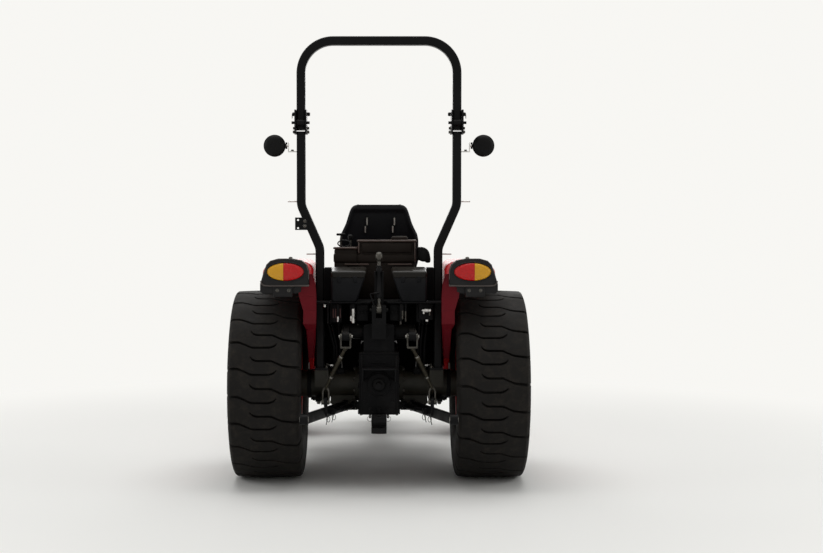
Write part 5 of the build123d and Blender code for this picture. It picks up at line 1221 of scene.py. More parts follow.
def top_link_parts():
    """The stowed top link: a rounded bright eye, threaded ends, a turning sleeve and its handle."""
    foot, up = pivot("top_link_drop"), Vector((0, sin(radians(14)), cos(radians(14))))
    head = foot + up * 0.305
    eye, bars, sleeve = Shape(), Shape(), Shape()

    def put(shape, surface, name):
        shape.done(f"top_link_{name}", surface, "top_link", replaces="top_link")
    eye.collar(head, X, [(-0.0150, 0.0175), (-0.0150, 0.0225), (-0.011, 0.0268), (-0.004, 0.0288), (0.004, 0.0288),
                         (0.011, 0.0268), (0.0150, 0.0225), (0.0150, 0.0175)], 40)
    eye.collar(head, X, [(-0.0188, 0.0097), (-0.0188, 0.0128), (-0.012, 0.0165), (0, 0.0178), (0.012, 0.0165),
                         (0.0188, 0.0128), (0.0188, 0.0097)], 40)
    put(eye, DARK_STEEL, "eye")
    ridges = [(0, 0.0098)]
    for i in range(60):
        ridges += [(0.001 + i * 0.0042, 0.0098), (0.0028 + i * 0.0042, 0.0110)]
    bars.lathe(foot + up * 0.022, up, ridges + [(0.254, 0.0098), (0.256, 0.0098)], 20)
    bars.lathe(foot - X * 0.0148, X, [(0, 0.019), (0.003, 0.0215), (0.0266, 0.0215), (0.0296, 0.019)], 36)
    bars.lathe(foot + up * 0.010, up, [(0, 0.015), (0.016, 0.0145), (0.024, 0.011)], 24)
    bars.lathe(head - up * 0.030, up, [(0, 0.012), (0.006, 0.0155), (0.012, 0.0160)], 24)
    put(bars, DARK_STEEL, "screws")
    sleeve.lathe(foot + up * 0.066, up, [(0, 0.015), (0.004, 0.0168), (0.022, 0.0168), (0.026, 0.0145),
                                         (0.146, 0.0145), (0.150, 0.0168), (0.169, 0.0168), (0.173, 0.015)])
    sleeve.lathe(foot + up * 0.242, up, [(0, 0.0165), (0.010, 0.0165)], 6)
    grip = foot + up * 0.100 - Y * 0.016
    sleeve.tube([grip + X * 0.004, grip - X * 0.014 - Y * 0.004]
                + [foot + Vector(v) for v in ((-0.050, 0.0, 0.090), (-0.030, -0.012, 0.030), (-0.022, -0.012, 0.012))],
                0.0042)
    put(sleeve, SATIN, "sleeve")


def case_details():
    """The gear case's rear cover, power take-off, ribs, side flanges and bolts."""
    cover, bolts, shaft, seal, ribs = (Shape() for _ in range(5))
    cover.plate(rounded_box(0.186, 0.200, 0.030), (0, CASE_REAR + 0.002, 0.512), X, Z, 0.012, 0.003)
    cover.collar((0, CASE_REAR - 0.010, PTO_Z), -Y, [(-0.004, 0.040), (-0.004, 0.064), (0.004, 0.066), (0.010, 0.063),
                                                     (0.012, 0.040)], 48)
    # x from and to, y from and to, z from and to, bevel
    for x0, x1, y0, y1, z0, z1, bevel in ((-0.104, -0.092, -0.012, 0.004, 0.430, 0.742, 0.003),
                                          (0.092, 0.104, -0.012, 0.004, 0.430, 0.742, 0.003),
                                          (-0.040, 0.040, -0.006, 0.003, 0.650, 0.658, 0.0025),
                                          (-0.040, 0.040, -0.006, 0.003, 0.672, 0.680, 0.0025),
                                          (-0.040, 0.040, -0.006, 0.003, 0.694, 0.702, 0.0025),
                                          (-0.1125, 0.1125, -0.009, 0.004, 0.748, 0.758, 0.003)):
        cover.block((x0, CASE_REAR + y0, z0), (x1, CASE_REAR + y1, z1), bevel)
    cover.done("gear_case_cover", CAST)
    for at in loop((0, CASE_REAR - 0.010, 0.512), X * 0.082, Z * 0.088, 10, 18):
        bolts.hex_bolt(at, -Y, 0.010)
    for at in loop((0, CASE_REAR - 0.019, PTO_Z), X * 0.054, Z * 0.054, 6):
        bolts.hex_bolt(at, -Y, 0.008, False)
    bolts.lathe((0, CASE_REAR - 0.010, 0.435), -Y, [(0, 0.011), (0.005, 0.011), (0.008, 0.007)], 6)
    bolts.done("gear_case_bolts", SATIN)
    splines = 6
    turns = [(2 * pi * i / (8 * splines), 0.0174 if i % 8 < 4 else 0.0146) for i in range(8 * splines)]
    shaft.plate([(r * cos(t), r * sin(t)) for t, r in turns], (0, CASE_REAR - 0.018, PTO_Z), X, Z, 0.072, 0.0)
    seal.lathe((0, CASE_REAR - 0.010, PTO_Z), -Y, [(0, 0.034), (0.010, 0.034), (0.014, 0.026), (0.016, 0)], 32)
    shaft.done("pto_shaft", OLIVE_STEEL)
    seal.done("pto_seal", KNOB)
    for _, sign in SIDES:
        for z in (0.47, 0.55, 0.63, 0.70):
            ribs.block((sign * 0.1115, CASE_REAR + 0.03, z), at_axle(sign * 0.1195, -0.12, z + 0.009))
        ribs.lathe(at_axle(sign * 0.112, 0.30, 0.60), X * sign, [(0, 0.046), (0.010, 0.046), (0.014, 0.036)], 28)
        for at in loop(at_axle(sign * 0.1225, 0.30, 0.60), Y * 0.039, Z * 0.039, 6):
            ribs.hex_bolt(at, X * sign, 0.008, False)
    ribs.done("gear_case_ribs", CAST)


def axle_details():
    """Clamp plates and studs that hold the roll bar's posts, flange bolts and brake levers on the trumpets."""
    iron, bright, rods, zinc = (Shape() for _ in range(4))
    low, foot = AXLE.z - 0.077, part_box("rops_posts")[0].z + 0.014
    for _, sign in SIDES:
        def at(x, y, z):
            return at_axle(sign * x, y, z)
        out = X * sign
        iron.block(at(0.290, -0.098, low - 0.019), at(0.370, 0.098, low - 0.001), 0.004)
        for x in (0.308, 0.352):
            for y, high in ((-0.086, low), (0.086, 0.640)):
                rods.rod(at(x, y, low - 0.036), at(x, y, high), 0.0075)
                bright.hex_bolt(at(x, y, low - 0.019), -Z, 0.019)
        zinc.lathe(at(0.250, -0.052, 0.657), out, [(0, 0.006), (0.012, 0.0075), (0.014, 0.0098), (0.036, 0.0098),
                                                   (0.038, 0.006), (0.046, 0.006)], 20)
        zinc.rod(at(0.410, -0.040, 0.636), at(0.410, -0.040, 0.672), 0.0048)
        for bolt in loop(at(0.1402, 0, AXLE.z), Y * 0.091, Z * 0.091, 8, 22):
            bright.hex_bolt(bolt, out, 0.013)
        iron.collar(at(0.395, 0, AXLE.z), out, [(0, 0.070), (0, 0.0815), (0.010, 0.0835), (0.022, 0.0835),
                                                (0.026, 0.070)])
        iron.block(at(0.200, -0.052, AXLE.z + 0.056), at(0.250, -0.010, AXLE.z + 0.090), 0.008)
        rods.tube([at(0.225, y, AXLE.z + z) for y, z in
                   ((-0.035, 0.080), (-0.035, 0.125), (0.10, 0.130), (0.37, 0.05))], 0.0055, 10)
        for x in (0.145, 0.170, 0.262):
            bright.hex_bolt(at(x, -0.0352, 0.412), -Y, 0.012)
        for x, y in ((0.302, -0.055), (0.302, -0.185), (0.358, -0.055)):
            bright.hex_bolt(at(x, y, foot), Z, 0.016)
    iron.done("axle_clamps", CAST)
    rods.done("axle_studs", DARK_STEEL)
    zinc.done("brake_clevises", STEEL)
    bright.done("axle_bolts", DARK_STEEL)


def valve_details():
    """Under the deck's rear edge: hydraulic couplers, a valve block, steel pipes and a bright filter bowl."""
    bright, dull, iron, pipes, red = (Shape() for _ in range(5))

    def at(x, ahead, z):
        return Vector((x, VALVES_Y + ahead, z))
    for x, low, high, r, plated in COUPLERS:
        shape = bright if plated else dull
        shape.lathe(at(x, 0, low), Z,
                    [(0, r * 0.7), (0.004, r), (high * 0.3, r), (high * 0.34, r * 0.78), (high * 0.42, r * 0.78),
                     (high * 0.46, r), (high - 0.002, r), (high, r * 0.8)], 24)
        iron.lathe(at(x, 0, low + high), Z, [(0, r * 1.25), (1.031 - low - high, r * 1.25)], 6)
    bright.lathe(at(0.242, 0, 0.996), X, [(0, 0.0075), (0.006, 0.0095), (0.016, 0.0095), (0.017, 0.0125),
                                          (0.034, 0.0125), (0.036, 0.010), (0.050, 0.010), (0.052, 0.007)], 24)
    bright.lathe(at(0.252, 0, 0.976), Z, [(0, 0.0075), (0.014, 0.0075)], 6)
    bright.block(at(0.262, -0.004, 0.932), at(0.278, 0.012, 0.945), 0.004)
    dull.lathe(at(0.286, 0, 0.968), Z, [(0, 0.006), (0.024, 0.006)], 12)
    bright.block(at(-0.315, 0.02, 1.012), at(-0.300, 0.04, 1.030))
    bright.done("hydraulic_couplers", STEEL)
    dull.done("hydraulic_nipples", DARK_STEEL)
    for x0, x1, back, ahead, low, high in VALVE_BLOCKS:
        iron.block(at(x0, back, low), at(x1, ahead, high), 0.006)
    for x in (-0.115, -0.095, -0.075, 0.075, 0.095):
        iron.lathe(at(x, 0.018, 0.985), -Y, [(0, 0.008), (0.010, 0.008), (0.012, 0.005)], 6)
    iron.done("valve_blocks", CAST)
    for i in range(4):
        red.block(at(-0.262 + i * 0.013, 0.024, 0.952), at(-0.255 + i * 0.013, 0.032, 1.004), 0.0015)
    red.done("relay_box_ribs", RED_DARK)
    for x, out in ((-0.29, -0.26), (-0.272, -0.245), (0.25, 0.24), (0.274, 0.262), (-0.232, -0.225), (0.232, 0.225)):
        pipes.tube([at(x, 0.05, 1.034), at(x, 0.05, 0.93), at_axle(x, -0.16, 0.90), at_axle(out, -0.15, 0.78),
                    at_axle(out, -0.12, 0.70), at_axle(out, -0.03, 0.625)], 0.0065)
    pipes.tube([at(-0.145, 0, 1.02), at(-0.145, 0.03, 1.032), at(-0.10, 0.03, 1.032)], 0.005, 10)
    pipes.done("steel_pipes", SATIN)


def drawbar_details():
    """The drawbar's bolts, pins and ring clips, and the clips on the lower links."""
    bright, wire = Shape(), Shape()
    for _, sign in SIDES:
        for y in (-0.12, 0.03):
            bright.hex_bolt(at_axle(sign * 0.104, y, 0.383), -Z, 0.014)
        bright.rod(at_axle(sign * 0.052, -0.142, 0.358), at_axle(sign * 0.052, -0.142, 0.398), 0.006)
        wire.tube(loop(at_axle(sign * 0.052, -0.150, 0.356), Z * 0.016, X * sign * 0.016, 12), 0.0016, 6, True)
    bright.done("drawbar_bolts", DARK_STEEL)
    wire.done("drawbar_clips", STEEL)
    for side, sign in SIDES:
        pins = Shape()
        for share, drop in ((0.30, 0.056), (0.44, 0.060)):
            at = at_axle(sign * (0.195 + 0.205 * share), -0.080 - 0.700 * share, 0.396 + 0.015 * share)
            pins.tube(loop(at - Z * 0.016, X * sign * 0.010, Z * 0.016, 12), 0.0017, 6, True)
            pins.rod(at - Z * drop * 0.8 + X * sign * 0.012, at + Z * 0.004, 0.0022)
        pins.done(f"link_clips_{side}", DARK_STEEL, f"lower_link_{side}")


def arm_details():
    """Grease nipples, end washers and eyes on the lift arms and their shaft."""
    mid, parts = pivot("lift_arms_raise"), Shape()
    for _, sign in SIDES:
        out = X * sign
        parts.lathe(mid + out * 0.2045, out, [(-0.002, 0.032), (0.003, 0.032), (0.004, 0.012), (0.010, 0.011),
                                              (0.011, 0)], 28)
        for y in (0.09, 0.17):
            parts.collar(mid + Vector((sign * 0.184, -y, -0.002)), X,
                         [(-0.0145, 0.006), (-0.0145, 0.010), (0.0145, 0.010), (0.0145, 0.006)], 24)
        parts.lathe(mid + Vector((sign * 0.12, -0.010, 0.038)), Z, [(0, 0.004), (0.005, 0.004), (0.009, 0.002)], 10)
    parts.done("lift_arm_details", DARK_STEEL, "lift_arms")


# ---- Wheels ----
# Disc's face, nuts' circle, count and size, the cap's face and radius, the bead seat's radius and face
RIMS = (("rear", -0.048, 0.100, 8, 0.018, -0.0275, 0.048, 0.215, -0.0185),
        ("front", 0.002, 0.0735, 6, 0.015, 0.0142, 0.036, 0.163, 0.0215))
NUT_START, VALVE_TURN = math.degrees(0.2), radians(68)


def rim_details():
    """Wheel nuts, a grease cap with its screws, a valve and a weld bead on each rim."""
    for end, face, circle, count, nut, cap_x, cap_r, seat, bead in RIMS:
        for side, sign in SIDES:
            mid, out, body = centre(f"{end}_tyre_{side}"), X * sign, f"{end}_wheel_{side}"
            bright, dark, valve = Shape(), Shape(), Shape()
            for at in loop(mid + out * face, Y * circle, Z * circle, count, NUT_START):
                bright.lathe(at, out, [(0, nut * 0.75), (0.003, nut * 0.70)], 20)
                bright.lathe(at + out * 0.003, out, [(0, nut * 0.56), (nut * 0.7, nut * 0.56),
                                                     (nut * 0.8, nut * 0.46)], 6)
                bright.rod(at, at + out * nut * 1.5, nut * 0.30, 14)
            for at in loop(mid + out * cap_x, Y * cap_r * 0.82, Z * cap_r * 0.82, 6):
                bright.hex_bolt(at, out, 0.009, False)
            bright.done(f"{end}_wheel_nuts_{side}", PIN_STEEL, body)
            dark.lathe(mid + out * cap_x, out, [(0, cap_r * 0.62), (0.010, cap_r * 0.62), (0.016, cap_r * 0.5),
                                                (0.018, 0)])
            dark.collar(mid + out * bead, out, [(-0.004, seat - 0.004), (-0.004, seat + 0.004), (0.004, seat + 0.003),
                                                (0.006, seat - 0.003)], 72)
            dark.done(f"{end}_wheel_cap_{side}", RED_RIM, body)
            radial = Y * cos(VALVE_TURN) + Z * sin(VALVE_TURN)
            foot = mid + out * (face + 0.05) + radial * (seat - 0.002)
            tip = foot + out * 0.030 - radial * 0.012
            valve.rod(foot, tip, 0.0045)
            valve.rod(tip, tip + (tip - foot).normalized() * 0.010, 0.0055)
            valve.done(f"{end}_wheel_valve_{side}", GRIP, body)


# ---- Roll bar ----
def roll_bar_details():
    """Bracket bolts, the lock pin and its ring at each fold joint, post welds and rubber cheek seals."""
    fold = pivot("roll_bar_fold").z
    beads, bright, knobs, seals, plate = (Shape() for _ in range(5))
    for _, sign in SIDES:
        def at(x, z, ahead=0.0):
            return at_axle(sign * x, ahead - 0.150, z)
        seals.block(at(0.3112, 1.050, -0.030), at(0.3158, 1.228, 0.066), 0.001)
        for face, out in ((0.4117, X * -sign), (0.4823, X * sign)):
            for ahead, up in ((-0.018, -0.050), (0.018, -0.050), (0.0, -0.028)):
                bright.hex_bolt(at(face, fold + up, ahead), out, 0.015)
            knobs.lathe(at(face, fold + 0.052), out, [(0, 0.011), (0.010, 0.011), (0.016, 0.0085)], 20)
        bright.tube(loop(at(0.4985, fold + 0.040), Y * 0.013, Z * 0.013, 15), 0.0016, 6, True)
        beads.block(at(0.308, 0.6565, 0.0301), at(0.372, 0.6625, 0.036), 0.0025)
        bright.hex_bolt(at(0.4975, 1.8998), Z, 0.013)
    beads.done("post_welds", SATIN)
    seals.done("cheek_seals", GRIP)
    bright.done("fold_bolts", DARK_STEEL)
    knobs.done("lock_pins", KNOB)
    for z in (1.4705, 1.4985):
        plate.hex_bolt((-0.425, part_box("post_plate")[0].y, z), -Y, 0.010)
    plate.done("post_plate_bolts", DARK_STEEL)


# ---- Fenders ----
ROLL_WIDE, ROLL_DEEP, ROLL_STEPS, ROLL_WALL = 0.120, 0.080, 9, 0.005
CROWN_SHARE, CROWN_FOOT = 0.958, 1.0    # above the foot, the top is a little flatter than the plain arch
EDGE_END, EDGE_RAMP = 0.22, 0.17        # how deep the edge is at both ends, and where it is full
# y from the axle, z, inner edge, outer edge
FLANGE = ((-0.433, 1.205, 0.372, 0.450), (-0.433, 1.150, 0.357, 0.450), (-0.433, 1.080, 0.352, 0.443),
          (-0.433, 1.000, 0.352, 0.419), (-0.433, 0.925, 0.353, 0.419), (-0.391, 0.892, 0.357, 0.404),
          (-0.300, 0.790, 0.365, 0.402), (-0.240, 0.716, 0.375, 0.399))


def skin_normal(v, rim):
    """The skin's direction at a vertex of a cut rim. At the rim's own ends the longer edge tells it."""
    edges = sorted((e for e in v.link_edges if e in rim), key=lambda e: -e.calc_length())
    normals = [e.link_faces[0].normal for e in edges]
    total = normals[0].copy()
    for normal in normals[1:]:
        if normal.dot(normals[0]) > cos(radians(45)):
            total += normal
    return Vector((0, total.y, total.z)).normalized()


def fender_shells():
    """The fenders from the frame's own shape, with the square outer edge of the arch rolled over."""
    for side, sign in SIDES:
        lo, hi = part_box(f"fender_{side}")
        plane = X * sign * (max(abs(lo.x), abs(hi.x)) - ROLL_WIDE)
        middle = Vector((plane.x, AXLE.y, AXLE.z))
        shape = Shape()
        bm = shape.bm
        bm.from_mesh(NODES[f"fender_{side}"].data)
        bmesh.ops.remove_doubles(bm, verts=bm.verts, dist=1e-5)
        cut = bmesh.ops.bisect_plane(bm, geom=[*bm.verts, *bm.edges, *bm.faces], plane_co=plane, plane_no=X * sign,
                                     clear_outer=True)
        rim = {e for e in cut["geom_cut"] if isinstance(e, bmesh.types.BMEdge)}
        verts = {v for e in rim for v in e.verts}
        ways = {v: skin_normal(v, rim) for v in verts}
        upper = {v for v in verts if ways[v].dot(v.co - middle) > 0}
        deep = {}
        for v in verts:
            left = v.co.y - lo.y if v.co.z > CROWN_FOOT and v.co.y < AXLE.y else v.co.z - lo.z
            deep[v] = EDGE_END + (1 - EDGE_END) * min(1.0, left / EDGE_RAMP)
        last = {v: v for v in verts}
        for k in range(1, ROLL_STEPS + 1):
            angle, ring = pi / 2 * k / ROLL_STEPS, {}
            for v in verts:
                out, wall = (ways[v], 0) if v in upper else (-ways[v], ROLL_WALL)
                ring[v] = bm.verts.new(v.co + X * sign * (ROLL_WIDE - wall) * sin(angle)
                                       - out * (ROLL_DEEP - wall) * deep[v] * (1 - cos(angle)))
            for p, q in (e.verts for e in rim):
                bm.faces.new((last[p], last[q], ring[q], ring[p]))
            last = ring
        lines = []
        for half in (upper, verts - upper):
            ends = {last[v] for v in half}
            lines += [e for e in {e for p in ends for e in p.link_edges} if ends.issuperset(e.verts)]
        bmesh.ops.bridge_loops(bm, edges=lines)
        for v in bm.verts:
            v.co.z = min(v.co.z, CROWN_FOOT + (v.co.z - CROWN_FOOT) * CROWN_SHARE)
        shape.done(f"fender_shell_{side}", RED, replaces=f"fender_{side}")


def fender_details():
    """The flange along each fender's rear inner edge, with its rolled edges and bolts; the flange's red is darkened as
    painted shade.
    """
    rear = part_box("fender_right")[0].y - 0.002
    for side, sign in SIDES:
        flange, bolts = Shape(), Shape()

        def at(x, y, z, ahead=0.0):
            return Vector((sign * x, max(rear, AXLE.y + y) + ahead, z))
        corners = [[at(x, y, z, ahead) for x, ahead in ((inner, 0), (outer, 0), (outer, 0.004), (inner, 0.004))]
                   for y, z, inner, outer in FLANGE]
        for low, high in zip(corners, corners[1:]):
            flange.faces(low + high, BOX_FACES)
        for column in (2, 3):
            flange.tube([at(row[column], *row[:2], 0.002) for row in FLANGE], 0.0034, 8)
        # The flange takes the darker red: its shade is painted into the colour
        flange.done(f"fender_flange_{side}", RED_PAINTED_SHADE)
        for y, z in ((-0.36, 1.060), (-0.05, 1.060), (0.26, 1.0)):
            bolts.hex_bolt(at_axle(sign * 0.3722, y, z), X * -sign, 0.012)
        bolts.done(f"fender_bolts_{side}", DARK_STEEL)


# ---- Bonnet, engine and front ----
PANEL_OUTLINE = ((0.470, 0.775), (0.930, 0.775), (1.020, 0.850), (0.960, 0.975), (0.560, 1.015), (0.470, 1.000))
# The bonnet's top line: y and z at its rear and its front, and where the spine on it ends
TOP_REAR, TOP_FRONT, SPINE_FRONT, SPINE_STEPS = (0.394, 1.185), (1.234, 1.075), 1.230, 14
SPINE_SECTION = ((-1, 0), (-0.97, 0.55), (-0.90, 0.9), (-0.80, 1), (0, 1.15), (0.80, 1), (0.90, 0.9), (0.97, 0.55),
                 (1, 0))
# x, z, radius
PULLEYS = ((0.0, 0.690, 0.075), (-0.115, 0.760, 0.040), (0.105, 0.780, 0.036), (0.0, 0.560, 0.062))
# x, z
BELT = ((0.0, 0.498), (-0.062, 0.56), (-0.153, 0.77), (-0.115, 0.80), (0.105, 0.816), (0.141, 0.78), (0.062, 0.56))
FAN_BLADE = ((-0.016, -0.012, 0.035), (0.016, 0.012, 0.035), (0.036, 0.022, 0.128), (-0.030, -0.020, 0.128))
BATTERY = at_axle(-0.090, 1.760, 0.552), at_axle(0.090, 1.940, 0.760)


def bonnet_details():
    """Louvred side panels, a raised spine, a waist moulding, a latch and grille bars."""
    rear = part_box("bonnet")[0].y
    for side, sign in SIDES:
        panel, slats, mould = Shape(), Shape(), Shape()
        panel.plate(PANEL_OUTLINE, (sign * 0.2445, 0, 0), Y, Z, 0.0035 * sign, 0.001)
        panel.done(f"side_panel_{side}", KNOB, "bonnet")
        for i in range(9):
            y, drop = 0.520 + i * 0.045, i * 0.004
            slats.faces([(sign * x, y + ahead, z) for x, ahead, z in
                         ((0.2476, 0, 0.800), (0.2476, 0.030, 0.800), (0.2560, 0.026, 0.803),
                          (0.2476, 0, 0.960 - drop), (0.2476, 0.030, 0.957 - drop), (0.2560, 0.026, 0.954 - drop))],
                        [(0, 1, 2), (3, 5, 4), (0, 3, 4, 1), (1, 4, 5, 2), (2, 5, 3, 0)])
        slats.done(f"side_louvres_{side}", SATIN, "bonnet")
        mould.tube([(sign * 0.2455, rear + 0.010, 0.735), (sign * 0.2455, 1.072, 0.735)], 0.0045, 10)
        mould.tube([(sign * 0.2452, rear + 0.012, 1.088), (sign * 0.2452, 1.070, 1.000)], 0.0035, 10)
        mould.done(f"waist_moulding_{side}", RED, "bonnet")
    spine, rings, bars, latch = Shape(), [], Shape(), Shape()
    for i in range(SPINE_STEPS + 1):
        share = i / SPINE_STEPS
        y = rear + 0.02 + (SPINE_FRONT - rear - 0.02) * share
        z = TOP_REAR[1] - (TOP_REAR[1] - TOP_FRONT[1]) * (y - TOP_REAR[0]) / (TOP_FRONT[0] - TOP_REAR[0])
        half, high = 0.105 - 0.030 * share, 0.0025 + 0.0075 * smooth(0, 0.10, share) * smooth(1, 0.88, share)
        rings.append([(x * half, y, z - 0.002 + high * up) for x, up in SPINE_SECTION])
    spine.skin(rings)
    spine.done("bonnet_spine", RED, "bonnet", smooth=30)
    lo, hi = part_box("grille")
    for count, half, foot, pitch in ((7, hi.x - 0.012, 0.012, 0.0155), (5, 0.040, 0.128, 0.0185)):
        for z in (lo.z + foot + i * pitch for i in range(count)):
            bars.block((-half, hi.y - 0.002, z), (half, hi.y + 0.006, z + 0.0055), 0.002)
    bars.tube([(x, hi.y + 0.002, z) for x, z in
               ((lo.x + 0.006, lo.z + 0.006), (hi.x - 0.006, lo.z + 0.006), (hi.x - 0.006, hi.z - 0.006),
                (lo.x + 0.006, hi.z - 0.006))], 0.0045, 8, True)
    bars.done("grille_bars", KNOB, "bonnet")
    latch.block((-0.020, hi.y - 0.006, 0.722), (0.020, hi.y + 0.006, 0.742), 0.004)
    latch.lathe((0, hi.y + 0.005, 0.732), Y, [(0, 0.008), (0.003, 0.008), (0.004, 0.006)], 20)
    latch.done("bonnet_latch", SATIN, "bonnet")


def engine_details():
    """A rocker cover, air filter, manifolds, belt drive, oil filter, radiator hoses and the battery's lid."""
    lo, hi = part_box("engine_block")
    front = AXLE.y + 1.500
    iron, black, bright, hoses, paint, flange = (Shape() for _ in range(6))

    def on(x, ahead, up):
        """A point from the block's rear and top."""
        return Vector((x, lo.y + ahead, hi.z + up))

    def ahead(x, y, z):
        """A point from the block's front and the ground."""
        return Vector((x, front + y, z))
    iron.block(on(-0.085, 0.06, -0.004), ahead(0.085, -0.05, hi.z + 0.045), 0.008)
    for y in (0.09 + i * 0.085 for i in range(6)):
        iron.block(on(-0.150, y, -0.002), on(-0.088, y + 0.040, 0.026), 0.006)
        for x in (0.068, -0.068):
            bright.hex_bolt(on(x, y + 0.02, 0.045), Z, 0.010)
    black.block(on(-0.070, 0.075, 0.044), ahead(0.070, -0.065, hi.z + 0.082), 0.014, segments=4)
    black.lathe(on(0.0, 0.25, 0.080), Z, [(0, 0.024), (0.010, 0.026), (0.020, 0.026), (0.024, 0.020)], 24)
    black.lathe(on(-0.115, 0.12, 0.105), Y, [(0, 0.050), (0.010, 0.056), (0.028, 0.056), (0.030, 0.052),
                                             (0.235, 0.052), (0.237, 0.056), (0.262, 0.056), (0.270, 0.044)], 40)
    hoses.tube([on(*p) for p in ((-0.115, 0.38, 0.105), (-0.100, 0.44, 0.10), (-0.060, 0.47, 0.07),
                                 (-0.02, 0.47, 0.03))], 0.022, 18)
    iron.tube([on(0.120, y, z) for y, z in ((0.10, -0.03), (0.10, 0.028), (0.52, 0.028), (0.52, -0.03))], 0.022, 16)
    for y in (0.16 + i * 0.10 for i in range(4)):
        iron.rod(on(0.120, y, 0.028), on(0.080, y, 0.020), 0.017)
    for x, z, r in PULLEYS:
        bright.collar(ahead(x, 0.020, z), Y, [(0, r * 0.3), (0, r), (0.003, r), (0.006, r * 0.86), (0.011, r * 0.86),
                                              (0.014, r), (0.017, r), (0.017, r * 0.3)])
    iron.lathe(ahead(-0.115, -0.09, 0.760), Y, [(0, 0.052), (0.010, 0.056), (0.085, 0.056), (0.095, 0.048),
                                                (0.110, 0.020)])
    hoses.tube([ahead(x, 0.0285, z) for x, z in BELT], 0.0055, 8, True)
    for i in range(7):
        blade = [ahead(0, 0.085, 0.690) + Matrix.Rotation(2 * pi * i / 7, 3, "Y") @ Vector(v) for v in FAN_BLADE]
        black.faces(blade + [v + Y * 0.003 for v in blade], BOX_FACES)
    paint.lathe((-0.166, lo.y + 0.20, 0.600), (-0.9, 0, -0.2),
                [(0, 0.036), (0.010, 0.038), (0.075, 0.038), (0.085, 0.030), (0.086, 0)])
    low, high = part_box("radiator_and_battery")
    hoses.tube([(0.10, low.y + 0.004, high.z - 0.06), (0.10, low.y - 0.05, high.z - 0.06),
                (0.07, low.y - 0.10, hi.z + 0.02), (0.05, front - 0.02, hi.z + 0.01)], 0.020, 18)
    hoses.tube([(-0.12, low.y + 0.004, 0.61), (-0.12, low.y - 0.05, 0.61), ahead(-0.10, 0.03, 0.60),
                ahead(-0.09, -0.002, 0.60)], 0.018, 18)
    for z0, z1 in ((high.z - 0.045, high.z - 0.001), (0.553, 0.590)):
        black.block((-0.177, low.y - 0.004, z0), (0.177, low.y + 0.084, z1), 0.010, segments=3)
    for _, sign in SIDES:
        black.block((sign * 0.177, low.y - 0.003, 0.56), (sign * 0.160, low.y + 0.083, high.z - 0.01), 0.004)
    black.lathe((0.06, low.y + 0.04, high.z - 0.002), Z,
                [(0, 0.020), (0.010, 0.020), (0.012, 0.024), (0.020, 0.024), (0.022, 0.018)], 12)
    low, high = BATTERY
    black.block(low - Vector((0.0015, 0.0015, -0.002)), high + Vector((0.0015, 0.0015, -0.030)), 0.006)
    black.block((low.x - 0.003, low.y - 0.003, high.z - 0.028), high + Vector((0.003, 0.003, 0.003)), 0.006)
    for i in range(6):
        black.lathe((-0.066 + 0.026 * i, low.y + 0.09, high.z + 0.002), Z, [(0, 0.009), (0.005, 0.009),
                                                                           (0.006, 0.006)], 14)
    for x in (-0.066, 0.066):
        bright.lathe((x, low.y + 0.03, high.z + 0.002), Z, [(0, 0.010), (0.014, 0.0085), (0.016, 0)], 20)
        hoses.tube([(x * wide, low.y + y, z) for wide, y, z in
                    ((1, 0.03, high.z + 0.016), (1, 0.01, high.z + 0.026), (1.3, -0.03, high.z + 0.01),
                     (1.9, -0.04, high.z - 0.08), (1.9, -0.04, 0.575))], 0.0055, 10)
    iron.done("engine_castings", ENGINE)
    black.done("engine_covers", PLASTIC)
    bright.done("engine_bright_parts", DARK_STEEL)
    hoses.done("engine_hoses", GRIP)
    paint.done("oil_filter", SATIN)
    flange.collar(at_axle(0.172, 1.25, 0.640), X,
                  [(-0.006, 0.018), (-0.006, 0.036), (0.004, 0.036), (0.004, 0.018)], 32)
    for y in (1.22, 1.28):
        flange.hex_bolt(at_axle(0.176, y, 0.640), X, 0.011)
    flange.done("exhaust_flange", CAST)


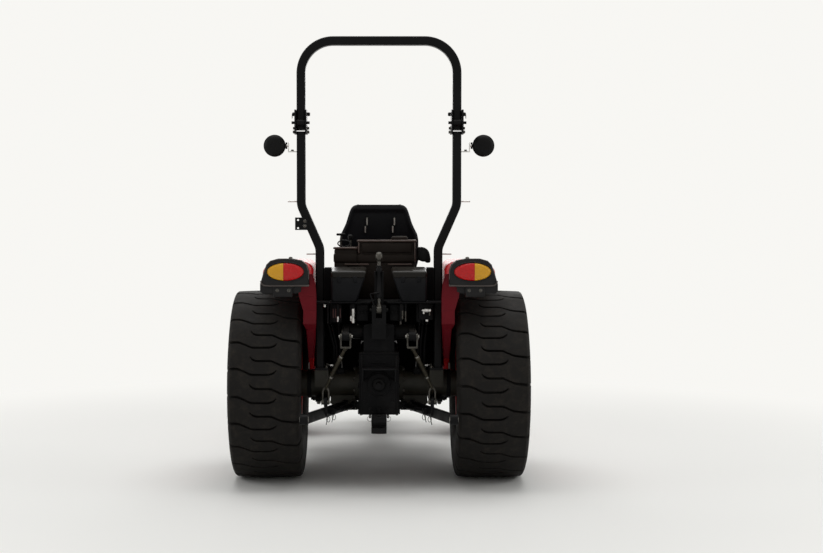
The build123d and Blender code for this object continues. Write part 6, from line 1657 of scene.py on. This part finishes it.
def front_details():
    """The axle's pivot cap, bolts along the frame rails, king pin caps and the tie rod's ends."""
    iron, bright, ends = Shape(), Shape(), Shape()
    y = FRONT_AXLE.y
    for x in (-0.035, 0.035):
        bright.hex_bolt((x, y - 0.051, 0.415), -Y, 0.014)
    iron.collar((0, y - 0.050, 0.347), -Y, [(-0.02, 0.020), (-0.02, 0.052), (0.006, 0.050), (0.014, 0.034),
                                            (0.014, 0.020)])
    bright.hex_bolt((0, y - 0.060, 0.347), -Y, 0.030)
    for _, sign in SIDES:
        for i in range(7):
            bright.hex_bolt((sign * 0.1955, 0.30 + 0.155 * i, 0.520 if i % 2 else 0.500), X * sign, 0.014)
        iron.block((sign * 0.195, 1.28, 0.500), (sign * 0.2005, 1.46, 0.545))
    iron.done("axle_pivot_cap", CAST)
    bright.done("frame_bolts", DARK_STEEL)
    for side, sign in SIDES:
        at = Vector((pivot(f"knuckle_{side}_steer").x, y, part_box(f"knuckle_{side}")[1].z))
        caps = Shape()
        caps.lathe(at - Z * 0.0005, Z, [(0, 0.030), (0.004, 0.028), (0.007, 0.020), (0.008, 0)])
        caps.lathe(at + Vector((sign * 0.012, 0, 0.006)), Z, [(0, 0.004), (0.006, 0.004), (0.010, 0.002)], 10)
        for bolt in loop(at, X * 0.034, Y * 0.034, 4, 45):
            caps.hex_bolt(bolt, Z, 0.009, False)
        caps.done(f"knuckle_cap_{side}", DARK_STEEL, f"knuckle_{side}")
    lo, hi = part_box("tie_rod")
    for _, sign in SIDES:
        at = Vector((sign * 0.455, (lo.y + hi.y) / 2, hi.z))
        ends.lathe(at - Z * 0.001, Z, [(0, 0.017), (0.004, 0.017), (0.006, 0.012), (0.010, 0.010)], 24)
        ends.lathe(at + Vector((-sign * 0.040, 0, -0.015)), X * -sign, [(0, 0.0175), (0.014, 0.0175)], 6)
    ends.done("tie_rod_ends", DARK_STEEL, "tie_rod")


dress_frame()
look()
for build in (tyres, seat_shell, seat_cushion, seat_backrest, tail_lenses, tail_pods, warning_lamps, headlamps, covers,
              console, console_levers, steering, dash_details, foot_controls, lift_rods, link_details,
              top_link_parts, case_details, axle_details, valve_details, drawbar_details, arm_details, rim_details,
              roll_bar_details, fender_shells, fender_details, bonnet_details, engine_details, front_details):
    build()
